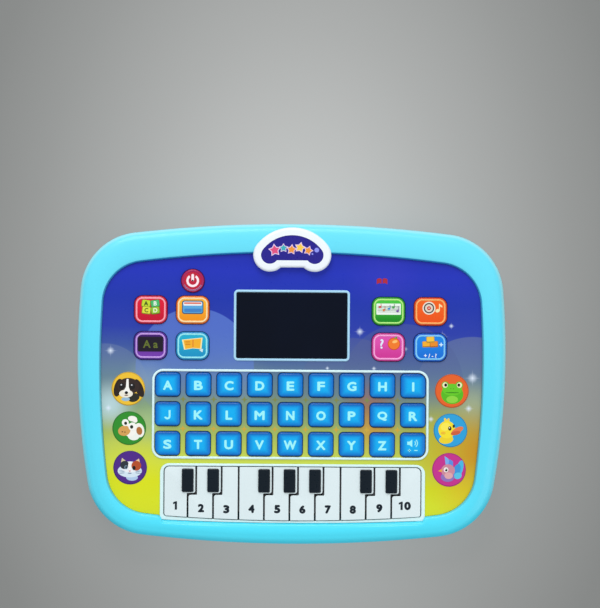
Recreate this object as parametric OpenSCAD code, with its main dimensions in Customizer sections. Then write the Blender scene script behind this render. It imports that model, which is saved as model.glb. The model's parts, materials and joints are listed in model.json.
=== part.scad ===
// Flat learning tablet for children: letter keys, ten piano keys, mode buttons and a small screen.
// Millimetres. +X to the right, +Y towards the top edge, +Z out of the face; Z = 0 is the table.

/* [Case outline] */
// Width of the case, side to side
body_w = 239.4; // [236:0.2:250]
// Depth of the case, bottom edge to top edge
body_d = 178.8; // [176:0.2:188]
// Radius of the bowed top edge
top_r = 734; // [600:2:1000]
// Radius of the bowed bottom edge
bottom_r = 744; // [600:2:1000]
// Radius of the bowed sides
side_r = 430; // [400:2:600]
// Height of the sides' widest point above the middle
side_y = 16.5; // [8:0.5:20]
// Radius of the two top corners
corner_top_r = 34; // [28:0.5:40]
// Radius of the two bottom corners
corner_bottom_r = 35; // [28:0.5:40]

/* [Bezel] */
// Width of the bezel at the top edge
bezel_top = 16.3; // [15:0.1:17]
// Width of the bezel at the sides
bezel_side = 13.3; // [12.5:0.1:15]
// Width of the bezel at the bottom edge
bezel_bottom = 11.8; // [11.5:0.1:12.4]
// Radius of the face's bowed top edge
face_top_r = 655; // [550:1:800]
// Radius of the face's bowed bottom edge
face_bottom_r = 659; // [550:1:800]
// Radius of the face's bowed sides
face_side_r = 505; // [450:1:700]
// Height of the face's widest point above the middle
face_side_y = 11.3; // [6:0.1:16]
// Radius of the face's corners
face_corner_r = 23.8; // [20:0.1:26]
// Height of the bezel above the printed face
bezel_rise = 2.6; // [2.2:0.1:4]
// Rounding of the case's upper outer edge
edge_r = 5; // [4:0.1:6]
// Rounding of the bezel's inner edge
lip_r = 2; // [1:0.1:2.1]

/* [Shells] */
// Wall of the front and rear shells
wall = 2; // [1.6:0.1:2.4]
// Height of the joint between the shells above the table
split_h = 11; // [10:0.5:13]
// Rounding of the rear shell's lower edge
back_r = 5; // [4:0.1:5.5]
// Thickness of the key deck behind the face
deck_t = 1.8; // [1.4:0.1:2.4]
// Thickness of the printed face film
film_t = 0.5; // [0.3:0.05:0.8]
// Height that the rubber feet stand proud of the back
foot_h = 1.2; // [0.8:0.1:1.5]
// Diameter of the rubber feet
foot_d = 11; // [8:0.5:14]
// Distance of the feet from the middle, across
foot_x = 84; // [76:0.5:88]
// Distance of the feet from the middle, along
foot_y = 56; // [50:0.5:62]

/* [Letter keys] */
// Spacing of the letter keys across
key_pitch_x = 17.1; // [16.9:0.05:17.3]
// Spacing of the rows of letter keys
key_pitch_y = 16.45; // [16.2:0.05:16.6]
// Width of a letter key
key_w = 13.8; // [12.5:0.1:13.9]
// Depth of a letter key
key_d = 13.4; // [12.5:0.1:13.5]
// Corner radius of a letter key
key_r = 2.3; // [1.5:0.1:4]
// Corner radius of the four outermost letter keys at the frame's corners
key_outer_r = 4.2; // [2.5:0.1:5]
// Middle of the letter block, across
keys_x = -0.5; // [-1.5:0.1:1.5]
// Middle of the letter block, along
keys_y = -17; // [-17.2:0.1:-16.2]
// Height of the keys above the printed face
key_rise = 1.6; // [1.3:0.1:2.4]
// Travel of a key
key_travel = 1.2; // [0.8:0.1:1.6]

/* [Piano] */
// Left end of the keyboard
piano_x = -70.5; // [-72:0.1:-69]
// Width of the keyboard
piano_w = 143; // [141:0.1:145]
// Upper edge of the keyboard
piano_y = -46.3; // [-46.8:0.1:-46.2]
// Spacing of the piano keys
piano_pitch = 14.19; // [14:0.01:14.3]
// Width of the first piano key
piano_first = 13.1; // [12.5:0.1:14]
// Gap between piano keys
piano_gap = 0.7; // [0.5:0.05:0.9]
// Sideways step of a key beside its black block
jog_w = 4.7; // [4.3:0.1:5]
// Length of a piano key's stepped part
jog_d = 15.2; // [14.6:0.1:17]
// Width of a black block
block_w = 6.6; // [5:0.1:7]
// Length of a black block
block_d = 13.1; // [11:0.1:13.5]
// Height of a black block above its key
block_h = 1; // [0.7:0.1:2]
// Height of the piano keys above the printed face
piano_rise = 1.3; // [1.2:0.1:2]

/* [Screen and buttons] */
// Width of the window
window_w = 61.6; // [50:0.2:64]
// Depth of the window
window_d = 36.5; // [30:0.1:38]
// Middle of the window, along
window_y = 32.7; // [31.5:0.1:34]
// Thickness of the window
window_t = 0.9; // [0.7:0.1:1.5]
// Width of a mode button
mode_w = 18.4; // [16:0.1:20]
// Depth of a mode button
mode_d = 15.6; // [14:0.1:16.5]
// Corner radius of a mode button
mode_r = 4.6; // [2:0.1:6]
// Distance of each pair of button columns from the middle
mode_x = 66.3; // [64:0.1:68]
// Middle of the two rows of buttons, along
mode_y = 31; // [30:0.1:34]
// Spacing of the button columns
mode_pitch_x = 23.4; // [22.5:0.1:24]
// Spacing of the button rows
mode_pitch_y = 20; // [19.2:0.1:21]
// Diameter of the power button
power_d = 12.8; // [10:0.1:13.4]
// Power button, across
power_x = -55.4; // [-60:0.1:-50]
// Power button, along
power_y = 57.3; // [57:0.1:60]
// Sideways shift of the buttons and touch pictures from the case's middle
art_x = -0.7; // [-1:0.1:1]

/* [Raised frames] */
// Width of the raised frame lines
frame_w = 1.4; // [1:0.1:1.5]
// Height of the raised frame lines
frame_h = 0.7; // [0.4:0.1:1.2]
// Room between the letter keys and their frame
frame_room = 0.5; // [0.4:0.05:0.7]
// Width of the piano's frame at its sides
piano_side = 2.4; // [1.8:0.1:3]
// Diameter of a touch picture
touch_d = 18.8; // [16:0.1:19.4]
// Distance of the touch pictures' columns from the middle
touch_x = 89.6; // [89:0.1:91]
// How far each touch picture stands further out than the one below it
touch_lean = 0.65; // [0:0.05:1]
// Middle of the touch pictures, along
touch_y = -25.2; // [-26:0.1:-24]
// Spacing of the touch pictures
touch_pitch = 22; // [20.5:0.1:22.6]

/* [Badge] */
// Radius of the badge's arched top
badge_r = 25; // [24:0.1:26]
// Distance of the arch's centre below the case's top edge
badge_in = 27; // [26.4:0.1:27.4]
// Radius of the badge's two lower lobes
lobe_r = 9.3; // [8.6:0.1:9.6]
// Distance of the lobes from the middle
lobe_x = 12.5; // [12:0.1:13]
// Height of the lobes above the arch's centre
lobe_y = 9.5; // [9:0.1:10]
// Depth of the notch between the lobes
notch_d = 2.4; // [1.5:0.1:3]
// Width of the badge's rim round its inlay
badge_rim = 4.4; // [3.5:0.1:5]
// Height of the badge above the bezel
badge_rise = 1.4; // [1:0.1:2]

/* [Inside] */
// Diameter of a cell (AAA)
cell_d = 10.5; // [10.2:0.1:10.8]
// Length of a cell, with its nub
cell_l = 44.5; // [44:0.1:45]
// Middle of the battery box, along
box_y = -24; // [-30:0.5:-20]
// Thickness of the circuit board
board_t = 1.6; // [1.2:0.1:2]
// Margin between the face's edge and the circuit board
board_in = 4.6; // [4:0.1:6]
// Diameter of the loudspeaker
speaker_d = 40; // [32:0.5:42]
// Loudspeaker, across
speaker_x = -63; // [-66:0.5:-60]
// Loudspeaker, along
speaker_y = -14; // [-16:0.5:-12]
// Distance between the two upper case screws
screw_span = 90; // [80:1:100]
// Height of the upper side screws above the middle
screw_up = 48; // [40:0.5:52]
// Depth of the lower side screws below the middle
screw_down = -22; // [-28:0.5:-16]
// Radius of the case screws' thread
screw_r = 1.1; // [0.9:0.05:1.3]

/* [Clearances] */
// Gap round keys and buttons in their openings
key_gap = 0.35; // [0.3:0.01:0.4]
// Gap under the deck above a key's flange
flange_gap = 0.2; // [0.15:0.01:0.3]
// Gap round pieces that drop in place
fit_gap = 0.2; // [0.1:0.01:0.3]

/* [Hidden] */
letters = "abcdefghijklmnopqrstuvwxyz";
columns = 9;
rows = 3;
letter_nodes = [for (i = [0:columns*rows - 1]) i < len(letters) ? str("key_", letters[i]) : "key_volume"];
piano_nodes = [for (i = [1:10]) str("piano_", i)];
mode_nodes = [for (i = [1:8]) str("mode_", i)];

// Heights, from the table up
z_back = foot_h;
z_floor = z_back + wall;
cell_gap = 0.3;
z_cell = z_floor + cell_gap + cell_d/2;
roof_t = 1.2;
z_roof = z_cell + cell_d/2 + cell_gap;
board_gap = 1;
z_board = z_roof + roof_t + board_gap;
z_mat = z_board + board_t;
mat_t = 0.5;
dome_gap = 0.1;
z_key = z_mat + mat_t + key_travel + dome_gap;
flange_t = 0.5;
flange_w = 1;
z_deck = z_key + flange_t + flange_gap;
z_film = z_deck + deck_t;
z_face = z_film + film_t;
z_top = z_face + bezel_rise;
fillet = 0.9;
eps = 0.5; // how far joined solids reach into each other
seat = 0.05; // hairline between pieces that press on each other
cut = 1; // how far a cutter reaches past the surface it opens
bore_gap = 0.1; // play of a screw's thread in its bore

// Outline records: half width, top, bottom, radii of top, bottom and sides, widest height, corner radii
body_o = [body_w/2, body_d/2, -body_d/2, top_r, bottom_r, side_r, side_y, corner_top_r, corner_bottom_r];
face_o = [body_w/2 - bezel_side, body_d/2 - bezel_top, -body_d/2 + bezel_bottom,
          face_top_r, face_bottom_r, face_side_r, face_side_y, face_corner_r, face_corner_r];

// Centre of the circle that touches two larger circles from inside, on the side of the point near
function touch(c1, d1, c2, d2, near) =
  let (v = c2 - c1, d = norm(v), a = (d1*d1 - d2*d2 + d*d)/(2*d), h = sqrt(d1*d1 - a*a),
       m = c1 + v*a/d, n = [-v.y, v.x]/d, p = m + n*h, q = m - n*h)
  norm(p - near) < norm(q - near) ? p : q;
function bearing(c, p) = atan2(p.y - c.y, p.x - c.x);

// The eight tangent arcs of an outline, each [centre, radius, first angle, last angle], moved in by inset
function arcs(o, inset = 0) =
  let (ct = [0, o[1] - o[3]], cb = [0, o[2] + o[4]], cr = [o[0] - o[5], o[6]],
       tr = touch(ct, o[3] - o[7], cr, o[5] - o[7], [o[0], o[1]]),
       br = touch(cb, o[4] - o[8], cr, o[5] - o[8], [o[0], o[2]]),
       cl = [-cr.x, cr.y], tl = [-tr.x, tr.y], bl = [-br.x, br.y],
       a_br = bearing(cr, br), a_tr = bearing(cr, tr), a_top = bearing(ct, tr), a_bot = bearing(cb, br))
  [[cr, o[5] - inset, a_br, a_tr], [tr, o[7] - inset, a_tr, a_top],
   [ct, o[3] - inset, a_top, 180 - a_top], [tl, o[7] - inset, 180 - a_top, 180 - a_tr],
   [cl, o[5] - inset, 180 - a_tr, 180 - a_br], [bl, o[8] - inset, 180 - a_br, 180 - a_bot],
   [cb, o[4] - inset, 180 - a_bot, 360 + a_bot], [br, o[8] - inset, 360 + a_bot, 360 + a_br]];

// Points along an arc, and round a whole outline
function arc(c, r, a0, a1, n = 8) =
  [for (i = [0:n]) let (a = a0 + (a1 - a0)*i/n) c + r*[cos(a), sin(a)]];
function ring(o, inset = 0, n = 10) =
  [for (a = arcs(o, inset)) for (i = [0:n - 1])
    a[0] + a[1]*[cos(a[2] + (a[3] - a[2])*i/n), sin(a[2] + (a[3] - a[2])*i/n)]];

// Height of the face's bottom edge at x, and half width of an outline's bowed side at y
function face_bottom(x) = face_o[2] + face_bottom_r - sqrt(face_bottom_r*face_bottom_r - x*x);
function side_at(o, y) = o[0] - o[5] + sqrt(o[5]*o[5] - (y - o[6])*(y - o[6]));
function top_at(o, x) = o[1] - o[3] + sqrt(o[3]*o[3] - x*x);

// A closed path with its corners rounded, each point [x, y, radius]
function rounded(p, n = 5) =
  [for (i = [0:len(p) - 1])
    let (c = [p[i].x, p[i].y], b = p[(i + len(p) - 1) % len(p)], f = p[(i + 1) % len(p)],
         u = ([b.x, b.y] - c)/norm([b.x, b.y] - c), v = ([f.x, f.y] - c)/norm([f.x, f.y] - c),
         half = acos(u*v)/2, t = p[i][2]/tan(half), m = c + (u + v)/norm(u + v)*p[i][2]/sin(half),
         a0 = bearing(m, c + u*t), turn = (u.x*v.y - u.y*v.x > 0 ? -1 : 1)*(180 - 2*half))
    each p[i][2] > 0 ? arc(m, p[i][2], a0, a0 + turn, n) : [c]];

module plate(o, inset, z0, z1) translate([0, 0, z0]) linear_extrude(z1 - z0) polygon(ring(o, inset));

// A skin through rings of equal length, each [points, height]; open skins close from last ring to first
module skin(rings, capped) {
  n = len(rings[0][0]);
  m = len(rings);
  sides = [for (i = [0:capped ? m - 2 : m - 1]) for (j = [0:n - 1])
    let (k = (i + 1) % m, l = (j + 1) % n) each [[i*n + j, k*n + l, i*n + l], [i*n + j, k*n + j, k*n + l]]];
  caps = capped ? [[for (j = [0:n - 1]) j], [for (j = [0:n - 1]) m*n - 1 - j]] : [];
  polyhedron([for (r = rings) for (p = r[0]) [p.x, p.y, r[1]]], concat(sides, caps), convexity = 6);
}
// The rings of a rounded edge: centre at inset c and height z, from angle a0 to a1, 0 pointing out
function bend(o, c, z, r, a0, a1, n = 4) =
  [for (i = [0:n]) let (a = a0 + (a1 - a0)*i/n) [ring(o, c - r*cos(a)), z + r*sin(a)]];

// A rectangle with its own radius at each corner, counted from the upper right and turning left
module slab(w, d, r, h) linear_extrude(h) {
  polygon([[w/2, d/2 - r[0]], [w/2 - r[0], d/2], [-w/2 + r[1], d/2], [-w/2, d/2 - r[1]],
           [-w/2, -d/2 + r[2]], [-w/2 + r[2], -d/2], [w/2 - r[3], -d/2], [w/2, -d/2 + r[3]]]);
  for (c = corners(w, d, r)) translate([c.x, c.y]) circle(c.z, $fn = 32);
}
function corners(w, d, r) = [[w/2 - r[0], d/2 - r[0], r[0]], [-w/2 + r[1], d/2 - r[1], r[1]],
                             [-w/2 + r[2], -d/2 + r[2], r[2]], [w/2 - r[3], -d/2 + r[3], r[3]]];
function grown(r, by) = [for (x = r) x + by];

// A block with rounded corners and a rounded upper edge
module pillow(w, d, r, h) {
  slab(w, d, r, h - fillet);
  slab(w - 2*fillet, d - 2*fillet, grown(r, -fillet), h);
  for (i = [0:3]) let (c = corners(w, d, r)[i]) translate([c.x, c.y, h - fillet]) rotate([0, 0, 90*i])
    rotate_extrude(angle = 90, $fn = 32) intersection() {
      square(r[i]);
      translate([r[i] - fillet, 0]) circle(fillet, $fn = 32);
    }
  for (s = [-1, 1]) {
    bead([[r[s < 0 ? 1 : 0], r[s < 0 ? 2 : 3]], d], [s*(w/2 - fillet), 0], h, 90);
    bead([[r[s < 0 ? 3 : 0], r[s < 0 ? 2 : 1]], w], [0, s*(d/2 - fillet)], h, 0);
  }
}
// One straight stretch of that rounded edge, between the corner radii at its two ends
module bead(run, at, h, turn) translate([at.x, at.y, h - fillet]) rotate([0, 0, turn])
  translate([-run[1]/2 + run[0][1], 0, 0]) rotate([0, 90, 0])
    cylinder(run[1] - run[0][0] - run[0][1], fillet, fillet, $fn = 32);

// Letter keys
function key_at(i) = [keys_x + (i % columns - (columns - 1)/2)*key_pitch_x,
                      keys_y + ((rows - 1)/2 - floor(i/columns))*key_pitch_y];
function key_radii(i) =
  [for (c = [columns - 1, 0, columns*(rows - 1), columns*rows - 1]) i == c ? key_outer_r : key_r];
module button(w, d, r, rise) {
  slab(w + 2*flange_w, d + 2*flange_w, grown(r, flange_w), flange_t);
  pillow(w, d, r, z_face + rise - z_key);
}
module letter_key(i) color([0.07, 0.55, 0.92]) translate([key_at(i).x, key_at(i).y, z_key])
  button(key_w, key_d, key_radii(i), key_rise);

// Mode buttons and the power button
mode_colours = ["crimson", "orange", "indigo", "darkturquoise",
                "yellowgreen", "tomato", "mediumvioletred", "royalblue"];
mode_rise = 1.5;
function mode_at(i) = [art_x + (i < 4 ? -1 : 1)*mode_x + (i % 2 - 0.5)*mode_pitch_x,
                       mode_y + (0.5 - floor(i/2) % 2)*mode_pitch_y];
mode_radii = [mode_r, mode_r, mode_r, mode_r];
module mode_button(i) color(mode_colours[i]) translate([mode_at(i).x, mode_at(i).y, z_key])
  button(mode_w, mode_d, mode_radii, mode_rise);

power_flange = 0.7; // narrower, to clear the button below
module power_button() color([0.85, 0.1, 0.3]) translate([power_x, power_y, z_key]) {
  cylinder(flange_t, power_d/2 + power_flange, power_d/2 + power_flange, $fn = 64);
  rotate_extrude($fn = 64) {
    square([power_d/2, z_face + mode_rise - z_key - fillet]);
    square([power_d/2 - fillet, z_face + mode_rise - z_key]);
    translate([power_d/2 - fillet, z_face + mode_rise - z_key - fillet]) circle(fillet, $fn = 32);
  }
}

// Piano: boundary i lies on the left of key i; a boundary with a black block steps sideways
piano_count = len(piano_nodes);
piano_rim = 2.5; // deck left between the keyboard and the face's bottom edge
has_block = [true, true, false, true, true, true, false, true, true, false];
piano_end = piano_x + piano_w;
function bound(i) = i == 0 ? piano_x : i == piano_count ? piano_end
  : piano_x + piano_first + (i - 1)*piano_pitch;
function step_at(i) = i > 0 && has_block[i - 1] ? jog_w : 0;
function piano_bottom(x) = face_bottom(x) + piano_rim;
jog_y = piano_y - jog_d;
end_r = 2.6;
// Outline of key i: low and high add to its lower and upper edges
function piano_path(i, low = 0, high = 0) =
  let (first = i == 0, last = i == piano_count - 1, g = piano_gap/2,
       l = bound(i) + (first ? 0 : g), r = bound(i + 1) - (last ? 0 : g),
       lu = l + step_at(i), ru = r + step_at(i + 1), y0 = piano_bottom((l + r)/2) - low, y1 = piano_y + high,
       step_r = 1, slope = (piano_bottom(r) - piano_bottom(l))/2)
  concat([[l, y0 - slope, first && low == 0 ? end_r/2 : 0], [r, y0 + slope, last && low == 0 ? end_r/2 : 0]],
         ru > r ? [[r, jog_y + g, 0.3], [ru, jog_y + g, step_r]] : [],
         [[ru, y1, last && high == 0 ? end_r : 0], [lu, y1, first && high == 0 ? end_r : 0]],
         lu > l ? [[lu, jog_y - g, 0.3], [l, jog_y - g, step_r]] : []);
tab_l = 2; // tab behind a key, at its hinge
toe_l = key_gap + 0.8; // toe in front of a key, under the deck
block_in = 1.1; // black block, from the key's upper edge
module piano_key(i) {
  color([0.9, 0.95, 0.96]) {
    translate([0, 0, z_key]) linear_extrude(z_face + piano_rise - z_key) polygon(rounded(piano_path(i)));
    translate([0, 0, z_key]) linear_extrude(flange_t) polygon(rounded(piano_path(i, toe_l, tab_l)));
  }
  if (has_block[i]) color([0.08, 0.14, 0.17])
    translate([bound(i + 1), piano_y - block_in - block_d/2, z_face + piano_rise - eps])
      pillow(block_w, block_d, [fillet, fillet, fillet, fillet], block_h + eps);
}
// The keyboard's opening, its edge moved out by by
function keyboard(by, r) =
  concat(rounded([[piano_end + by, piano_bottom(piano_end) - by, r/2], [piano_end + by, piano_y + by, r],
                  [piano_x - by, piano_y + by, r], [piano_x - by, piano_bottom(piano_x) - by, r/2]]),
         [for (i = [1:11]) let (x = piano_x + (piano_end - piano_x)*i/12) [x, piano_bottom(x) - by]]);

// Badge outline, moved in by inset
badge_y = body_d/2 - badge_in;
function badge_path(inset) =
  let (r = lobe_r - inset, t = badge_r - inset, c = [lobe_x, badge_y + lobe_y],
       lean = bearing([0, 0], [lobe_x, lobe_y]), low = lobe_r - notch_d - inset*0.9, a = -180 + asin(low/r))
  concat(arc(c, r, a, lean, 16), arc([0, badge_y], t, lean, 180 - lean, 20),
         arc([-c.x, c.y], r, 180 - lean, 180 - a, 16));
badge_seat = 1.2; // depth of the badge's seat in the bezel
inlay_in = 0.8; // depth of the sunk inlay
inlay_t = 0.5;
module badge() {
  color("white") difference() {
    union() {
      translate([0, 0, z_top - badge_seat]) linear_extrude(badge_rise + badge_seat) polygon(badge_path(0));
      intersection() {
        translate([0, 0, z_face]) linear_extrude(z_top - z_face) polygon(badge_path(0));
        plate(face_o, fit_gap, z_face, z_top);
      }
    }
    translate([0, 0, z_top + badge_rise - inlay_in]) linear_extrude(badge_rise)
      polygon(badge_path(badge_rim));
  }
  color([0.15, 0.15, 0.6]) translate([0, 0, z_top + badge_rise - inlay_in]) linear_extrude(inlay_t)
    polygon(badge_path(badge_rim + seat));
}

// Openings through the deck and the film for everything that is pressed
module openings(z0, z1) translate([0, 0, z0]) {
  for (i = [0:columns*rows - 1]) translate(key_at(i))
    slab(key_w + 2*key_gap, key_d + 2*key_gap, grown(key_radii(i), key_gap), z1 - z0);
  for (i = [0:len(mode_nodes) - 1]) translate(mode_at(i))
    slab(mode_w + 2*key_gap, mode_d + 2*key_gap, grown(mode_radii, key_gap), z1 - z0);
  translate([power_x, power_y]) cylinder(z1 - z0, power_d/2 + key_gap, power_d/2 + key_gap, $fn = 64);
  linear_extrude(z1 - z0) polygon(keyboard(key_gap, end_r + key_gap));
}

touch_at = [for (s = [-1, 1]) for (i = [-1:1])
  [art_x + s*(touch_x + i*touch_lean), touch_y + i*touch_pitch]];
plunger_r = touch_d/2 - 2; // rubber plunger under each touch picture
plunger_gap = 0.5;
window_ledge = 2; // deck under the window's edge

// Screws: two at the top, two at each side, one at each lower corner, all midway across the bezel
lower_o = arcs(body_o)[7];
lower_f = arcs(face_o)[7];
corner_a = -48; // bearing of the lower corner screws
corner_dir = [cos(corner_a), sin(corner_a)];
corner_at = (lower_o[0] + lower_o[1]*corner_dir + lower_f[0] + lower_f[1]*corner_dir)/2;
screw_half = [[screw_span/2, (top_at(body_o, screw_span/2) + top_at(face_o, screw_span/2))/2],
              for (y = [screw_up, screw_down]) [(side_at(body_o, y) + side_at(face_o, y))/2, y], corner_at];
screw_at = [for (s = [-1, 1]) for (p = screw_half) [s*p.x, p.y]];
boss_r = screw_r + 2.1;
head_r = screw_r + 1.3;
head_h = 1.6;
head_gap = 0.4;
head_z = z_floor + 2.6; // seat of the screws' heads
thread_l = 8; // blind bore in the front shell
thread_end = 0.5; // left free at its end

// Posts that hold the circuit board between the shells
face_w = body_w/2 - bezel_side; // half width of the face
face_y0 = bezel_bottom - body_d/2; // lowest point of the face
face_y1 = body_d/2 - bezel_top;
post_half = [[face_w - 9.4, face_y1 - 23], [window_w/2 + 7.2, window_y - window_d/2 - 3.5],
             [face_w - 22.4, face_y0 + 13.6]];
post_at = [for (s = [-1, 1]) for (p = post_half) [s*p.x, p.y]];
post_r = 2.4;
pin_r = 1.2; // pin on each lower post, through the board

module front_shell() color([0.37, 0.86, 0.97]) difference() {
  union() {
    bezel();
    plate(face_o, -1, z_deck, z_film);
    for (p = screw_at) translate([p.x, p.y, split_h])
      cylinder(z_top - wall/2 - split_h, boss_r, boss_r, $fn = 32);
    for (p = post_at) translate([p.x, p.y, z_mat]) cylinder(z_deck + eps - z_mat, post_r, post_r, $fn = 32);
  }
  for (p = screw_at) translate([p.x, p.y, split_h - cut])
    cylinder(thread_l + cut, screw_r + bore_gap, screw_r + bore_gap, $fn = 32);
  openings(z_deck - cut, z_film + cut);
  for (p = touch_at) translate([p.x, p.y, z_deck - cut])
    cylinder(deck_t + 2*cut, plunger_r + plunger_gap, plunger_r + plunger_gap, $fn = 48);
  translate([0, window_y, z_deck - cut])
    slab(window_w - 2*window_ledge, window_d - 2*window_ledge, window_radii, deck_t + 2*cut);
  translate([0, 0, z_top - badge_seat]) linear_extrude(badge_seat + cut) polygon(badge_path(-fit_gap));
}
rib_w = 1.8; // rib that carries the deck
// Bezel and side wall in one skin: up the outside, over the top, down to the deck and back inside
module bezel() skin(concat(
  [[ring(body_o), split_h]], bend(body_o, edge_r, z_top - edge_r, edge_r, 0, 90, 5),
  bend(face_o, -lip_r, z_top - lip_r, -lip_r, -90, 0, 3),
  [[ring(face_o), z_deck], [ring(face_o, -rib_w), z_deck], [ring(face_o, -rib_w), z_top - wall]],
  bend(body_o, edge_r, z_top - edge_r, edge_r - wall, 90, 0, 3), [[ring(body_o, wall), split_h]]), false);

// Battery box: the cells lie side by side along X, loaded from the back
box_wall = 1.5;
contact_t = 0.4;
coil_l = 5;
box_l = cell_l + coil_l + 2*contact_t + 4*seat;
box_d = 3*cell_d + 4*cell_gap;
door_ledge = 2; // the door's edge, let into the back round the box
door_t = 1.1;
door_margin = 2.6; // door round its screws' heads
door_screw_x = box_l/2 + box_wall + boss_r + seat;
door_w = 2*(door_screw_x + head_r + door_margin);
door_boss_h = 6.5;
door_head_h = 0.45; // low heads, flush with the door
function cell_y(i) = box_y + (i - 1)*(cell_d + cell_gap);
slot_n = 7;
grille_pitch = 4;
speaker_rim = 3;
collar_h = 3.5; // collar that holds the loudspeaker
collar_w = 2;

module rear_shell() color([0.35, 0.8, 0.93]) difference() {
  union() {
    tub();
    for (p = screw_at) translate([p.x, p.y, z_floor - eps])
      cylinder(split_h - z_floor + eps, boss_r, boss_r, $fn = 32);
    for (p = post_at) translate([p.x, p.y, z_floor - eps]) {
      cylinder(z_board - z_floor + eps, post_r, post_r, $fn = 32);
      cylinder(z_mat - seat - z_floor + eps, pin_r, pin_r, $fn = 32);
    }
    translate([0, box_y, z_floor - eps])
      block(box_l + 2*box_wall, box_d + 2*box_wall, z_roof + roof_t - z_floor + eps);
    for (s = [-1, 1]) translate([s*door_screw_x, box_y, z_floor - eps])
       cylinder(door_boss_h + eps, boss_r, boss_r, $fn = 32);
    translate([speaker_x, speaker_y, z_floor - eps])
      cylinder(collar_h + eps, speaker_d/2 + collar_w, speaker_d/2 + collar_w, $fn = 64);
  }
  translate([0, box_y, z_back - cut]) block(box_l, box_d, z_roof - z_back + cut);
  translate([0, box_y, z_back - cut])
    block(door_w + 2*fit_gap, box_d + 2*door_ledge + 2*fit_gap, door_t + bore_gap + cut);
  for (s = [-1, 1]) translate([s*door_screw_x, box_y, z_back])
    cylinder(wall + door_boss_h - thread_end, screw_r + bore_gap, screw_r + bore_gap, $fn = 32);
  for (p = screw_at) translate([p.x, p.y, z_back - cut]) {
    cylinder(head_z - z_back + cut, head_r + head_gap, head_r + head_gap, $fn = 32);
    cylinder(split_h - z_back + 2*cut, screw_r + fit_gap, screw_r + fit_gap, $fn = 32);
  }
  translate([speaker_x, speaker_y, z_floor])
    cylinder(collar_h + cut, speaker_d/2 + fit_gap, speaker_d/2 + fit_gap, $fn = 64);
  for (i = [0:slot_n - 1]) let (y = (i - (slot_n - 1)/2)*grille_pitch, r = speaker_d/2 - speaker_rim)
    translate([speaker_x, speaker_y + y, z_back - cut])
      block(2*sqrt(r*r - y*y) - grille_pitch/2, grille_pitch/2, wall + 2*cut);
  for (p = foot_at) translate([p.x, p.y, z_back - cut])
    cylinder(cut + foot_seat, foot_d/2 + fit_gap, foot_d/2 + fit_gap, $fn = 48);
}
// Tub of the rear shell in one skin, with a tongue that stands inside the front wall
tongue_h = 1.8;
tongue_t = 1.2;
tongue_root = 2.5;
module tub() skin(concat(
  bend(body_o, back_r, z_back + back_r, back_r, -90, 0, 5),
  [[ring(body_o), split_h], [ring(body_o, wall + fit_gap), split_h],
   [ring(body_o, wall + fit_gap), split_h + tongue_h], [ring(body_o, wall + tongue_t), split_h + tongue_h],
   [ring(body_o, wall + tongue_t), split_h - tongue_root],
   [ring(body_o, wall), split_h - tongue_root - fit_gap]],
  bend(body_o, back_r, z_back + back_r, back_r - wall, 0, -90, 3)), true);
module block(w, d, h) translate([-w/2, -d/2, 0]) cube([w, d, h]);
foot_seat = 0.5;
foot_edge = 0.4;
foot_at = [for (x = [-1, 1]) for (y = [-1, 1]) [x*foot_x, y*foot_y]];

module rubber_feet() color([0.25, 0.25, 0.27]) for (p = foot_at) translate([p.x, p.y, 0])
  rotate_extrude($fn = 48) {
    square([foot_d/2 - foot_edge, foot_h + foot_seat]);
    translate([0, foot_edge]) square([foot_d/2, foot_h + foot_seat - foot_edge]);
    translate([foot_d/2 - foot_edge, foot_edge]) circle(foot_edge, $fn = 24);
  }

module battery_door() color([0.33, 0.76, 0.9]) {
  difference() {
    union() {
      translate([0, box_y, z_back]) block(door_w, box_d + 2*door_ledge, door_t);
      translate([0, box_y, z_back]) block(box_l - 2*fit_gap, box_d - 2*fit_gap, wall);
    }
    for (s = [-1, 1]) translate([s*door_screw_x, box_y, z_back - cut]) {
      cylinder(cut + door_head_h + seat, head_r + fit_gap, head_r + fit_gap, $fn = 32);
      cylinder(door_t + 2*cut, screw_r + bore_gap, screw_r + bore_gap, $fn = 32);
    }
  }
  color("silver") for (s = [-1, 1]) translate([s*door_screw_x, box_y, z_back + door_head_h])
    screw(door_head_h, wall + door_boss_h - 2*thread_end - door_head_h);
}

// A screw with its head down and its thread up; the head's underside is at z = 0
module screw(head, length) {
  difference() {
    translate([0, 0, -head]) cylinder(head, head_r, head_r, $fn = 32);
    for (a = [0, 90]) rotate([0, 0, a])
      translate([0, 0, -head - cut]) block(head_r*1.4, slot_w, cut + head/2);
  }
  translate([0, 0, -head/4]) cylinder(length + head/4, screw_r, screw_r, $fn = 32);
}
slot_w = 0.6;
module case_screws() color("silver") for (p = screw_at) translate([p.x, p.y, head_z])
  screw(head_h, split_h + thread_l - thread_end - head_z);

// Each cell's nub bears on a bare plate and its flat end on a coil; neighbours point opposite ways
nub_l = 1;
nub_r = 1.9;
cell_end = box_l/2 - contact_t - 2*seat;
module batteries() for (i = [0:2]) translate([0, cell_y(i), z_cell]) rotate([0, 0, 180*(i % 2)]) {
  color([0.2, 0.55, 0.3]) translate([cell_end - cell_l, 0, 0]) rotate([0, 90, 0])
    cylinder(cell_l - nub_l, cell_d/2, cell_d/2, $fn = 48);
  color("silver") translate([cell_end - nub_l - eps, 0, 0]) rotate([0, 90, 0])
    cylinder(nub_l + eps, nub_r, nub_r, $fn = 32);
}
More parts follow.
